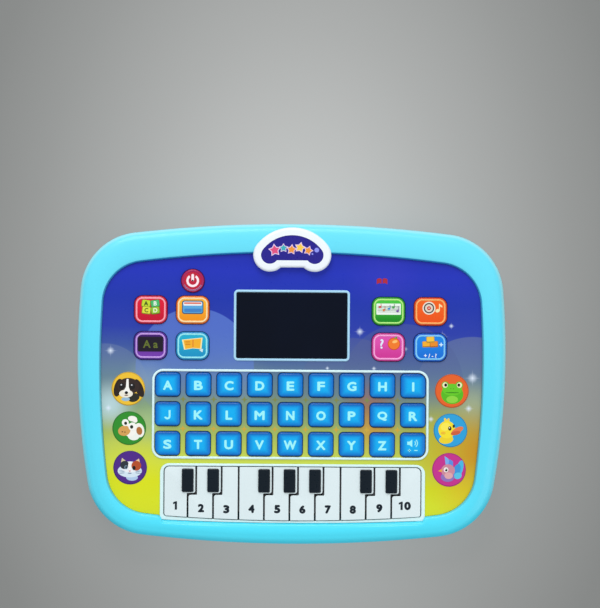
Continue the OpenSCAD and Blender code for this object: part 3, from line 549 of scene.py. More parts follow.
# Lower edge of the keys at x: the face's edge with a share of its dip, a rim's width higher
def pianoBottom(x):
    return faceBottom(x) - piano["follow"]*dipAt(x) + piano["rim"]


# Left bound of piano key k; k = 10 gives the right end
def pianoBound(k):
    if k == 0:
        return piano["x"]
    return piano["x"] + (piano["w"] if k == 10 else piano["first"] + (k - 1)*piano["pitch"])


# A box over a bowed edge: four rounded corners, then the bow's inner points
def bowedBox(left, right, top, r, lowLeft, lowRight, lowR, bow):
    corners = [(right, lowRight, lowR), (right, top, r), (left, top, r), (left, lowLeft, lowR)]
    return np.concatenate([rounded(corners), bow])


# Edge of the keyboard, moved outwards by grow
def keyboardPath(grow, r):
    left, right, top = piano["x"] - grow, piano["x"] + piano["w"] + grow, piano["top"] + grow
    xs = np.linspace(piano["x"], piano["x"] + piano["w"], 13)[1:-1]
    return bowedBox(left, right, top, r, pianoBottom(left) - grow, pianoBottom(right) - grow, r/2,
                    np.column_stack([xs, pianoBottom(xs) - grow]))


# Edges of all openings in the face, apart from the window
def openingPaths():
    gap = keyBlock["gap"]
    paths = [roundedBox(keyBlock["w"], keyBlock["d"], keyRadii(k), keyPlace(k), -gap) for k in range(27)]
    paths += [roundedBox(modeSet["w"], modeSet["d"], modeSet["r"], modePlace(k), -gap) for k in range(8)]
    return paths + [circle(power["d"]/2 + gap, (power["x"], power["y"]), 48), keyboardPath(gap, piano["endR"] + gap)]


# Points blended from the case's edge to the face's edge: (1 - t) case + t face
def band(t, caseIn, faceOut):
    ring = outline(caseOutline, caseIn, fine=8)*(1 - t) + outline(faceOutline, -faceOut, fine=8)*t
    return dipped(ring, t**3)


# Bezel section, from the seam up: wall, rounded edge, low crown, lip down to the print, then back inside. The
# crown takes over from the rounded edge and the lip a little short of a quarter turn
def bezelRings():
    def wallPath(inset):
        return outline(caseOutline, inset, fine=8)

    top, split, deck = heights["top"], heights["split"], heights["deck"]
    edge, lip, foot, crown, seam, wall = (case[key] for key in ("edge", "lip", "foot", "crown", "seam", "wall"))
    start, last = case["start"], case["handOver"]
    rings = ringsOf(wallPath, [(seam, split), (0, split + seam)] + shoulder(top - crown, edge, 9, last))
    rings += [lifted(band(t, edge*start, lip*start), top - crown*(2*t - 1)**2) for t in np.linspace(0.06, 0.94, 9)]
    rings += ringsOf(lipPath, shoulder(top - crown, lip, 7, last)[::-1] + [(0, deck), (foot, deck), (foot, top - wall)])
    return rings + ringsOf(wallPath, [(edge, top - case["inside"]), (wall, top - edge), (wall, split)])


bezel = bezelRings()
bezelSteps = np.zeros(len(bezel), int)
# the lip's own material is painted shade
bezelSteps[slice(*case["lipSteps"])] = 1  # the steep part of the lip has its own material
makePiece("bezel", [loft(bezel, bezelSteps, closed=True)], [bezelMaterial, lipShadeMaterial],
          ["front_shell"])
print("bezel made")

windowMiddle = (0, screen["y"])
windowHole = roundedBox(screen["w"], screen["d"], screen["r"], windowMiddle, -screen["gap"])
lightHole = roundedBox(screen["w"] - 2*screen["ledge"], screen["d"] - 2*screen["ledge"], 1.0, windowMiddle)
makePiece("keyDeck", [plate([lipPath(0.5)] + openingPaths() + [lightHole], heights["deck"], heights["film"] - 0.01)],
          [deckShadedMaterial])
print("deck made")

# Colour of the print by height
printStops = [(-78, (216, 218, 44)), (-66, (213, 226, 44)), (-56, (214, 222, 32)), (-46, (204, 218, 80)),
              (-36, (190, 206, 88)), (-26, (160, 182, 100)), (-15, (128, 156, 118)), (-6, (112, 138, 136)),
              (4, (94, 126, 150)), (12, (78, 106, 156)), (20, (60, 86, 162)), (30, (42, 62, 170)), (46, (30, 54, 172)),
              (62, (34, 52, 186)), (74, (30, 46, 172))]
# Soft glows: middle, radius, colour, strength
printGlow = [((88, -34), 42, (184, 180, 26), 0.6), ((102, -10), 18, (176, 190, 146), 0.6),
             ((-80, -22), 16, (170, 206, 150), 0.5), ((104, -38), 32, (206, 132, 14), 0.8),
             ((100, -64), 24, (226, 184, 40), 0.5), ((80, -34), 26, (196, 180, 30), 0.5),
             ((-84, -56), 34, (220, 228, 24), 0.7), ((44, -12), 20, (176, 90, 40), 0.55),
             ((46, -26), 18, (220, 150, 40), 0.6), ((-101, -12), 17, (196, 226, 236), 0.8),
             ((-80, 2), 16, (150, 176, 170), 0.6), ((52, 60), 26, (60, 60, 195), 0.35),
             ((-30, -4), 26, (130, 160, 150), 0.35)]
# Wide discs with a crisp upper edge, fading downwards: middle, radius, colour, strength
printLobes = [((-54, 9), 33, (96, 130, 214), 0.62), ((-104, -2), 24, (140, 160, 176), 0.2),
              ((101, -6), 33, (110, 126, 158), 0.48), ((62, 0), 34, (80, 96, 150), 0.4),
              ((34, -4), 30, (96, 104, 146), 0.3)]
# Small stars: x, y, reach
sparkles = [(-101, 18, 3.4), (-84, 21, 2.2), (-94, -9, 2.6), (38, 29.5, 3.2), (84, 27, 3.4), (63, 20, 2.4),
            (101, 4, 4.4), (89, 33, 2.0), (-102, -14, 2.8), (99, -13, 3.0), (78, -19, 2.4), (46, 9, 1.8),
            (-40, 4, 2.0), (20, 9, 1.6)]
printSet = {"reach": 80.0, "slant": 0.02, "lobeEdge": 0.3, "lobeFade": 22.0, "sparkle": (225, 238, 255),
            "ray": 1.25, "core": 0.3, "halo": 0.75, "haloShare": 0.7}


# Printed film: a height gradient, then glows, discs and stars. A star is where sqrt|dx| + sqrt|dy| is small
def makePrintMaterial():
    material, tree, place = newMaterial("facePrint", 0.3, specular=0.25)
    reach, fade, soft = printSet["reach"], printSet["lobeFade"], printSet["lobeEdge"]
    x, y = axes(tree, vectorNode(tree, "SCALE", {0: place, 3: 1/mm})[0])[:2]
    flat = addNode(tree, "ShaderNodeCombineXYZ", {0: x, 1: y, 2: 0.0}).outputs[0]
    height = mathNode(tree, "ADD", y, mathNode(tree, "MULTIPLY", x, printSet["slant"]))
    where = addNode(tree, "ShaderNodeMapRange", {0: height, 1: -reach, 2: reach}).outputs[0]
    tone = ramp(tree, where, [((h + reach)/(2*reach), colour) for h, colour in printStops])

    def distanceFrom(point):
        return vectorNode(tree, "DISTANCE", {0: flat, 1: (point[0], point[1], 0.0)})["Value"]

    for middle, r, colour, strength in printGlow:
        tone = layOver(tree, tone, smoothStep(tree, distanceFrom(middle), float(r), 0.0), strength, colour)
    for middle, r, colour, strength in printLobes:
        disc = smoothStep(tree, distanceFrom(middle), r + soft, r - soft)
        mask = mathNode(tree, "MULTIPLY", disc, smoothStep(tree, y, -fade, fade))
        tone = layOver(tree, tone, mask, strength, colour)
    for sx, sy, r in sparkles:
        dx, dy = (mathNode(tree, "SQRT", mathNode(tree, "ABSOLUTE", mathNode(tree, "SUBTRACT", axis, middle)))
                  for axis, middle in ((x, sx), (y, sy)))
        rays = smoothStep(tree, mathNode(tree, "ADD", dx, dy), math.sqrt(r)*printSet["ray"], printSet["core"])
        halo = mathNode(tree, "MULTIPLY", smoothStep(tree, distanceFrom((sx, sy)), r*printSet["halo"], 0.0),
                        printSet["haloShare"])
        tone = mixColour(tree, mathNode(tree, "MAXIMUM", rays, halo), tone, linear(printSet["sparkle"]))
    paintGrained(tree, place, tone, 400.0, 0.000006, 0.3, 0.03)
    return material


makePiece("faceFilm", [plate([lipPath(-0.12)] + openingPaths() + [windowHole], heights["film"], heights["face"])],
          [makePrintMaterial()], ["face_overlay"])

lineSet = {"w": 1.4, "h": 0.7, "room": 0.5, "sunk": 0.2, "colour": (222, 252, 254), "screenColour": (172, 222, 250)}
lineMaterial = plastic("frameWhite", lineSet["colour"], 0.3)


# Raised line round a rounded box grown by room: a half ellipse carried along it, width (1 - cos t)/2 outwards and
# height sin t, a little fuller, above z
def raisedLine(w, d, r, room, middle, width, height, z, material=0):
    t = np.linspace(0, math.pi, 9)
    profile = list(zip(width*(0.5 - 0.5*np.cos(t)), z + height*np.sin(t)**0.7))
    profile += [(width, z - lineSet["sunk"]), (0.0, z - lineSet["sunk"])]
    rings = ringsOf(lambda out: roundedBox(w, d, r, middle, -room - out, n=12), profile)
    return loft(rings[::-1], material, closed=True)


# A raised line on the print as a piece of its own
def makeFrame(name, w, d, r, room, middle, material):
    line = raisedLine(w, d, r, room, middle, lineSet["w"], lineSet["h"], heights["face"])
    makePiece(name, [line], [material])


makeFrame("letterFrame", 8*keyBlock["pitchX"] + keyBlock["w"], 2*keyBlock["pitchY"] + keyBlock["d"],
          keyBlock["outerR"], lineSet["room"], (keyBlock["x"], keyBlock["y"]), lineMaterial)
makeFrame("screenFrame", screen["w"], screen["d"], screen["r"], screen["gap"], windowMiddle,
          plastic("screenLine", lineSet["screenColour"], 0.3))


# Edges of the frame round the keyboard: outside just within the face's dipped edge, inside at the opening
def pianoFramePaths():
    left, right = piano["x"] - piano["side"], piano["x"] + piano["w"] + piano["side"]
    top, r = piano["top"] + lineSet["w"] + keyBlock["gap"], piano["endR"] + piano["side"]
    inset, lowR = 0.15, 1.6
    low = faceBottom(left) - piano["dip"] + inset
    xs = np.linspace(left, right, 25)[1:-1]
    bow = np.column_stack([xs, faceBottom(xs) - dipAt(xs) + inset])
    return [bowedBox(left, right, top, r, low, low, lowR, bow),
            keyboardPath(keyBlock["gap"], piano["endR"] + keyBlock["gap"])]


makePiece("pianoFrame", [plate(pianoFramePaths(), heights["face"] - lineSet["sunk"], heights["face"] + lineSet["h"],
                               edge=0.25)], [lineMaterial])


# A flat shape of ink, just proud of the print
def inkShape(path, material=0):
    return slab(path, heights["face"] - 0.05, heights["face"] + proud, material)


# Four-pointed marks where the gaps between the letter keys cross, the two rows in two colours
crossMark = {"r": 1.9, "waist": 0.75/1.9, "colours": [(128, 138, 78), (206, 170, 60)]}
marks = [inkShape(star(*(keyPlace(k) + keyPlace(k + 10))/2, crossMark["r"], 4, crossMark["waist"], 0), k//9)
         for k in range(17) if k != 8]
makePiece("crossMarks", marks, [ink(colour) for colour in crossMark["colours"]])

# Small sign of an open book: a leaf and its mirror image
leaf = np.array([(0.3, -1.2), (0.3, 1.5), (1.6, 1.9), (3.0, 1.3), (3.0, -1.5), (1.6, -0.8)])
makePiece("bookSign", [inkShape(leaf*(side, 1) + (50.2, 57.6)) for side in (-1, 1)], [ink((176, 36, 58))])
print("printed face made")

letterSet = {"legend": 5.2, "bold": 0.3, "stroke": 1.1, "drop": 0.5, "fillet": 1.1, "crown": 0.35,
             "legendColour": (160, 248, 255), "middle": (4, 176, 244), "edge": (2, 112, 206), "upper": (4, 66, 150),
             "lower": (2, 62, 110)}


# Key cap colour: bright in the middle, deeper to its edges by the larger of |x| and |y| on the key's own map,
# and darkest along its upper and lower edges
def makeKeyMaterial():
    material, tree, place = newMaterial("keyBlue", 0.3, specular=0.3)
    x, y = mapAxes(tree)[:2]
    square = mathNode(tree, "MAXIMUM", mathNode(tree, "ABSOLUTE", x), mathNode(tree, "ABSOLUTE", y))
    tone = mixColour(tree, smoothStep(tree, square, 0.35, 1.0), linear(letterSet["middle"]), linear(letterSet["edge"]))
    tone = layOver(tree, tone, smoothStep(tree, y, 0.6, 0.96), 0.6, letterSet["upper"])
    tone = layOver(tree, tone, smoothStep(tree, y, -0.86, -1.0), 0.7, letterSet["lower"])
    paintGrained(tree, place, tone, 800.0, 0.000006, 0.28, 0.03)
    return material


# A pressed cap: flange, wall, rounded shoulder of radius fillet, then a top that rises by the crown as 1 - s squared
def capParts(w, d, radii, middle, top, fillet, crown):
    def wallPath(inset):
        return roundedBox(w, d, radii, middle, inset)

    z = heights["key"]
    rings = ringsOf(wallPath, [(0, z + 0.02)] + shoulder(top - crown, fillet, 7))
    rings += [lifted(middle + (wallPath(fillet) - middle)*s, top - crown*s*s) for s in np.linspace(0.92, 0.08, 9)]
    return [slab(wallPath(-keyBlock["flange"]), z, z + keyBlock["flangeT"]), loft(rings)]


letterWidths = dict(zip(string.ascii_uppercase, (5.3, 4.9, 5.1, 5.1, 4.3, 4.3, 5.2, 4.9, 1.3, 3.4, 5.0, 3.8, 5.7, 4.8,
                                                 5.3, 4.4, 5.5, 4.8, 4.6, 4.6, 4.9, 5.0, 7.1, 5.3, 4.9, 4.7)))


# A bar and a hook: the hook is a half ring below the bar, to its left
def letterJ(at, low, high):
    size, width, stroke = letterSet["legend"], letterWidths["J"], letterSet["stroke"]
    r = (width + stroke)/4 + 0.1
    x, y, top = at[0] + width/2 - stroke/2, at[1] - size/2 + r + stroke/2, at[1] + size/2
    hook = arcBand((x - r, y), r, stroke, 0, -168, 14)
    return slab(np.concatenate([[(x + stroke/2, top)], hook, [(x - stroke/2, top)]]), low, high, 1)


# A loudspeaker with two waves over a minus and a plus sign
def volumeSign(at, low, high):
    horn = [(-3.1, 0.1), (-1.9, 0.1), (-0.3, -1.1), (-0.3, 3.1), (-1.9, 1.9), (-3.1, 1.9)]
    paths = [np.array(horn)] + [arcBand((0.1, 1.0), r, 0.5, -50, 50, 10) for r in (1.4, 2.5)]
    paths += [roundedBox(w, h, 0.15, (x, -3.0), n=3)
              for w, h, x in ((1.7, 0.5, -1.9), (0.5, 1.7, -1.9), (1.9, 0.5, 1.7))]
    return [slab(path + at, low, high, 1) for path in paths]


keyMaterials = [makeKeyMaterial(), ink(letterSet["legendColour"])]
for k in range(27):
    at, top = keyPlace(k), heights["face"] + keyBlock["rise"]
    low, high, legendAt = top - 0.25, top + proud, at - (0, letterSet["drop"])
    name = string.ascii_lowercase[k] if k < 26 else "volume"
    parts = capParts(keyBlock["w"], keyBlock["d"], keyRadii(k), at, top, letterSet["fillet"], letterSet["crown"])
    if name == "volume":
        parts += volumeSign(at, low, high)
    elif name == "j":
        parts.append(letterJ(legendAt, low, high))
    else:
        parts.append(lettering(name.upper(), letterSet["legend"], legendAt, low, high, 1, bold=letterSet["bold"],
                               width=letterWidths[name.upper()]))
    makePiece("cap_" + name, parts, keyMaterials, ["key_" + name], "key_" + name,
              uvBox=(at[0], at[1], keyBlock["w"]/2, keyBlock["d"]/2))
print("letter keys made")

digitSet = {"size": 4.7, "bold": 0.4, "width": 3.5,
            "x": (-63.9, -49.9, -35.8, -21.8, -7.4, 6.6, 20.8, 34.7, 49.5, 63.9),
            "y": (-68.0, -69.4, -69.9, -69.6, -69.7, -69.8, -69.7, -69.7, -68.8, -67.4)}
# The keys' sides below their white tops are dark: painted shade in the narrow gaps between the keys
pianoMaterials = [plastic("keyWhite", (224, 240, 244), 0.3, vary=0.015),
                  plastic("keySidePaintedShade", (10, 30, 36), 0.6), plastic("keyBlack", (3, 20, 32), 0.3),
                  ink((14, 30, 42))]
# A figure one, a bar with a flag, in units of its height
oneShape = np.array([(0.13, -0.5), (0.13, 0.5), (-0.05, 0.5), (-0.34, 0.36), (-0.34, 0.15), (-0.13, 0.22),
                     (-0.13, -0.5)])


# Number of key k + 1; in the ten, a one stands to the left of a nought
def digitParts(k, low, high):
    at, size, bold = np.array([digitSet["x"][k], digitSet["y"][k]]), digitSet["size"], digitSet["bold"]
    if k == 0:
        return [slab(oneShape*size + at, low, high, 3)]
    if k == 9:
        return [slab(oneShape*size + at - (2.0, 0), low, high, 3),
                lettering("0", size, at + (1.3, 0), low, high, 3, bold=bold, width=digitSet["width"] + 0.2)]
    return [lettering(str(k + 1), size, at, low, high, 3, bold=bold, width=digitSet["width"])]


# Outline of one piano key with its sideways steps
def pianoPath(k, grow=0.0):
    first, last, g = k == 0, k == 9, piano["gap"]/2 - grow
    left = pianoBound(k) + (-grow if first else g)
    right = pianoBound(k + 1) - (-grow if last else g)
    stepL = piano["jogW"] if k > 0 and piano["blocks"][k - 1] else 0
    stepR = piano["jogW"] if piano["blocks"][k] else 0
    y0, y1, jog = pianoBottom((left + right)/2), piano["top"], piano["top"] - piano["jogD"]
    slope = (pianoBottom(right) - pianoBottom(left))/2
    small, wide, inner, end = (piano[key] for key in ("smallR", "wideR", "jogR", "endR"))
    corners = [(left, y0 - slope, wide if first else small), (right, y0 + slope, wide if last else small)]
    if stepR:
        corners += [(right, jog + g, inner), (right + stepR, jog + g, wide)]
    corners += [(right + stepR, y1, end if last else small), (left + stepL, y1, end if first else small)]
    if stepL:
        corners += [(left + stepL, jog - g, inner), (left, jog - g, wide)]
    return rounded(corners)


# The black block across the step between keys k and k + 1
def blockPart(k, top):
    w, d = piano["blockW"], piano["blockD"]
    middle = (pianoBound(k + 1), piano["top"] - piano["blockIn"] - d/2)
    return loft(ringsOf(lambda inset: roundedBox(w, d, piano["blockR"], middle, inset),
                        [(0, top - 0.3)] + shoulder(top + piano["blockH"], piano["blockFillet"], 6)), 2)


for k in range(10):
    top = heights["face"] + piano["rise"]
    # the white top is a little smaller than the dark body below it, so a thin line of painted shade shows round each
    # key
    parts = [plate([pianoPath(k, -piano["shadeInset"])], top - piano["keyT"], top, edge=piano["round"]),
             slab(pianoPath(k), heights["key"], top - 0.3, 1)]
    parts += digitParts(k, top - 0.05, top + proud)
    if piano["blocks"][k]:
        parts.append(blockPart(k, top))
    node = "piano_%d" % (k + 1)
    makePiece("pianoKey_%d" % (k + 1), parts, pianoMaterials, [node], node)
print("piano made")

glass = plate([roundedBox(screen["w"], screen["d"], screen["r"], windowMiddle)], heights["film"],
              heights["film"] + screen["t"], edge=screen["round"])
makePiece("screenGlass", [glass], [sheer("screenGlass", 30.0, (2, 8, 20), (5, 14, 33), 0.09, specular=0.25)],
          ["screen_window"])

powerMaterials = [plastic("powerRim", (172, 26, 84), 0.3), plastic("powerRed", (194, 26, 58), 0.28),
                  plastic("powerPaintedHighlight", (226, 158, 214), 0.3), ink((255, 236, 244))]


# Power button: a rim with a rounded shoulder, a sunk dish, a pale arc painted on the rim as a highlight, and the sign's
# ring and bar
def powerParts():
    at, top, r, z = (power["x"], power["y"]), heights["face"] + power["rise"], power["d"]/2, heights["key"]
    flange, lip, dish = power["flange"], z + keyBlock["flangeT"], r - power["dish"]
    profile = [(-flange, z), (-flange, lip), (0, lip)] + shoulder(top, power["fillet"], 7)
    profile += [(power["dish"] - 0.25, top), (power["dish"], top - power["well"])]
    shineIn, *shine = power["shine"]
    ring, *sign = power["ring"]
    return [loft(ringsOf(lambda inset: circle(r - inset, at, 64), profile)),
            turned([(dish, top - 0.3), (dish, top - 0.14), (r - 3.2, top - 0.05), (0.5, top)], at, 1),
            slab(arcBand(at, r - shineIn, *shine, 24), top - 0.3, top, 2),
            slab(arcBand(at, ring, *sign, 40), top - 0.2, top, 3),
            slab(roundedBox(*power["bar"], (at[0], at[1] + power["barUp"]), n=5), top - 0.2, top, 3)]


makePiece("powerCap", powerParts(), powerMaterials, ["power_button"], "power_button")

# Mode buttons in their order: name, outer colour, rim line, panel above, panel below
modeLooks = [("red", (200, 24, 58), (255, 158, 176), (222, 24, 56), (196, 16, 48)),
             ("amber", (232, 110, 22), (255, 226, 168), (252, 180, 36), (240, 148, 24)),
             ("purple", (80, 40, 146), (194, 152, 232), (66, 22, 112), (116, 60, 172)),
             ("teal", (22, 132, 192), (146, 236, 246), (30, 176, 208), (22, 146, 196)),
             ("green", (40, 150, 40), (176, 240, 124), (72, 196, 64), (24, 142, 34)),
             ("orange", (222, 70, 22), (255, 178, 98), (242, 98, 22), (236, 84, 18)),
             ("magenta", (198, 50, 140), (250, 164, 222), (222, 80, 176), (206, 54, 150)),
             ("blue", (16, 92, 202), (124, 204, 250), (24, 134, 232), (16, 112, 216))]


# Tilted blocks with a darker rim: rows of (x, y, turn, colour); outer and inner are (width, depth, radius)
def blocks(rows, outer, inner, lift, dark):
    return [(turnedBy(roundedBox(w, d, r, (0, up), n=3), turn) + (x, y), shade(colour, tone))
            for x, y, turn, colour in rows for (w, d, r), up, tone in ((outer, 0, dark), (inner, lift, 1))]


# Upright boxes: rows of (x, y, width, depth, radius, colour)
def boxes(n, *rows):
    return [(roundedBox(w, d, r, (x, y), n=n), colour) for x, y, w, d, r, colour in rows]


# An open book's cover, and its page as a smaller copy about its mean point
bookCover = np.array([(-5.9, 3.4), (0, 4.0), (5.6, 4.6), (5.0, -1.8), (0.4, -1.4), (-4.6, -2.2)])
bookPage = (bookCover - bookCover.mean(0))*0.86 + bookCover.mean(0)
notes = [(-4.8, 1.2, (216, 52, 60)), (-2.6, -0.6, (230, 120, 50)), (0.2, 0.2, (60, 150, 210)),
         (2.6, 1.0, (64, 170, 80)), (5.0, -1.0, (120, 70, 170))]
cream, disc = (250, 226, 170), (-0.9, 1.9)

# Pictograms about the middle of a button: (path, colour), drawn one over another
modeArt = {
    "red": blocks([(-2.6, 3.4, -7.8, (196, 222, 44)), (2.5, 3.4, 7.5, (70, 190, 110)),
                   (-2.4, -0.4, -7.2, (222, 226, 60)), (2.6, -0.4, 7.8, (150, 200, 50))],
                  (5.0, 4.1, 0.6), (4.4, 3.5, 0.5), 0.15, 0.6),
    "amber": boxes(4, (0, 1.5, 12.0, 7.6, 1.4, (62, 84, 110)), (0, 1.5, 11.0, 6.4, 1.0, (86, 168, 224)),
                   (0, 3.5, 10.4, 2.2, 0.6, (236, 240, 246)), (0, 3.8, 9.6, 0.8, 0.3, (228, 96, 62)),
                   (0.2, -0.2, 9.6, 1.8, 0.6, (58, 130, 204))),
    "purple": boxes(4, (0, 0.8, 14.2, 8.4, 0.8, (36, 22, 52)), (0, 0.8, 13.2, 7.4, 0.5, (26, 18, 38))),
    "teal": [(bookCover, (250, 236, 168)), (bookPage, (246, 178, 34))]
    + boxes(3, (0.3, 1.4, 0.5, 4.4, 0.2, (222, 120, 40)), (-2.6, 2.2, 2.8, 0.5, 0.2, (212, 132, 30)),
            (-2.5, 0.9, 2.8, 0.5, 0.2, (212, 132, 30)))
    + [([(3.6, -2.2), (6.0, -1.6), (5.6, -3.6)], (206, 236, 240))],
    "green": boxes(3, (0, 1.2, 13.6, 6.2, 0.4, (238, 248, 240)))
    + boxes(2, *[(0, 1.2 + dy, 12.4, 0.18, 0.05, (150, 190, 160)) for dy in (-1.6, -0.8, 0.0, 0.8, 1.6)])
    + [shape for x, dy, colour in notes for shape in [(ellipse(x, 1.2 + dy, 0.75, 0.55, 20, 16), colour)]
       + boxes(2, (x + 0.6, 2.2 + dy*0.8, 0.22, 2.2, 0.08, colour))],
    "orange": [(circle(r, disc), colour) for r, colour in ((3.6, (238, 232, 214)), (2.9, (64, 60, 66)),
                                                          (2.2, (226, 214, 196)), (1.1, (206, 60, 40)))]
    + [(circle(0.35, disc, 12), (250, 240, 230)), (ellipse(3.9, 0.5, 1.25, 0.95, 20, 20), cream)]
    + boxes(3, (4.9, 2.4, 0.55, 4.0, 0.2, cream)) + [([(4.65, 4.4), (4.65, 3.2), (6.6, 2.2), (6.4, 3.4)], cream)],
    "magenta": [(circle(3.5, (3.1, 1.9)), (206, 66, 26)), (circle(3.1, (3.1, 1.95)), (244, 122, 34)),
                (ellipse(3.6, 3.1, 1.5, 0.8, 15, 20), (255, 196, 112)),
                ([(3.0, 5.0), (4.6, 6.0), (5.0, 5.2), (3.6, 4.7)], (90, 170, 60))],
    "blue": blocks([(-2.2, 1.8, 4, (246, 176, 36)), (2.0, 1.8, 4, (236, 140, 28)), (0.0, 4.4, 4, (250, 200, 60))],
                   (4.6, 3.4, 0.5), (4.0, 2.6, 0.4), 0.25, 0.72)
    + [(star(6.0, 1.6, 1.4, 4, 0.4), (210, 240, 255))],
}
# Letters and signs over them: words, size, place, colour
modeWords = {"red": [("A", 2.4, (-2.6, 3.5), (70, 90, 20)), ("B", 2.4, (2.5, 3.5), (240, 250, 240)),
                     ("C", 2.4, (-2.4, -0.3), (90, 100, 20)), ("D", 2.4, (2.6, -0.3), (240, 250, 220))],
             "purple": [("A a", 4.4, (0, 0.8), (98, 112, 40))], "magenta": [("?", 5.4, (-3.6, 1.8), (226, 236, 255))],
             "blue": [("+ / - ?", 2.3, (0, -4.6), (238, 248, 255))]}


# Shapes drawn one over another: each reaches a step higher than the one before and has its own material
def stack(shapes, at, low, level, step, parts, materials):
    for path, colour in shapes:
        level += step
        materials.append(ink(colour))
        parts.append(slab(np.asarray(path) + at, low, level, len(materials) - 1))
    return level


# Panel colour: two shades from the lower to the upper part of the button's own map
def makePanelMaterial(name, upper, lower):
    material, tree, place = newMaterial(name, 0.3, specular=0.3)
    tone = mixColour(tree, smoothStep(tree, mapAxes(tree)[1], -0.8, 0.6), linear(lower), linear(upper))
    paintGrained(tree, place, tone, 800.0, 0.000006, 0.28, 0.03)
    return material


for k, (name, outer, line, upper, lower) in enumerate(modeLooks):
    at, top, w, d, r = modePlace(k), heights["face"] + modeSet["rise"], modeSet["w"], modeSet["d"], modeSet["r"]
    parts = capParts(w, d, [r]*4, at, top - modeSet["capDown"], modeSet["fillet"], 0.0)
    parts += [raisedLine(w, d, r, -modeSet["lineIn"], at, modeSet["lineW"], modeSet["lineH"],
                         top - modeSet["lineDown"], 1),
              slab(roundedBox(w, d, r, at, modeSet["panelIn"]), top - 0.45, top - modeSet["panelDown"], 2)]
    materials = [plastic("modeEdge_" + name, outer, 0.3), plastic("modeLine_" + name, line, 0.3),
                 makePanelMaterial("modePanel_" + name, upper, lower)]
    low = top - 0.4
    level = stack(modeArt[name], at, low, top - modeSet["artDown"], modeSet["artStep"], parts, materials)
    for words, size, place, colour in modeWords.get(name, []):
        materials.append(ink(colour))
        parts.append(lettering(words, size, at + place, low, level + 0.05, len(materials) - 1,
                               bold=size*modeSet["bold"]))
    node = "mode_%d" % (k + 1)
    makePiece("modeCap_" + name, parts, materials, [node], node, (at[0], at[1], w/2, d/2), weld=False)
print("buttons made")

brown, white, black, dark, sclera = (52, 38, 34), (250, 250, 246), (18, 18, 22), (28, 26, 28), (240, 236, 190)
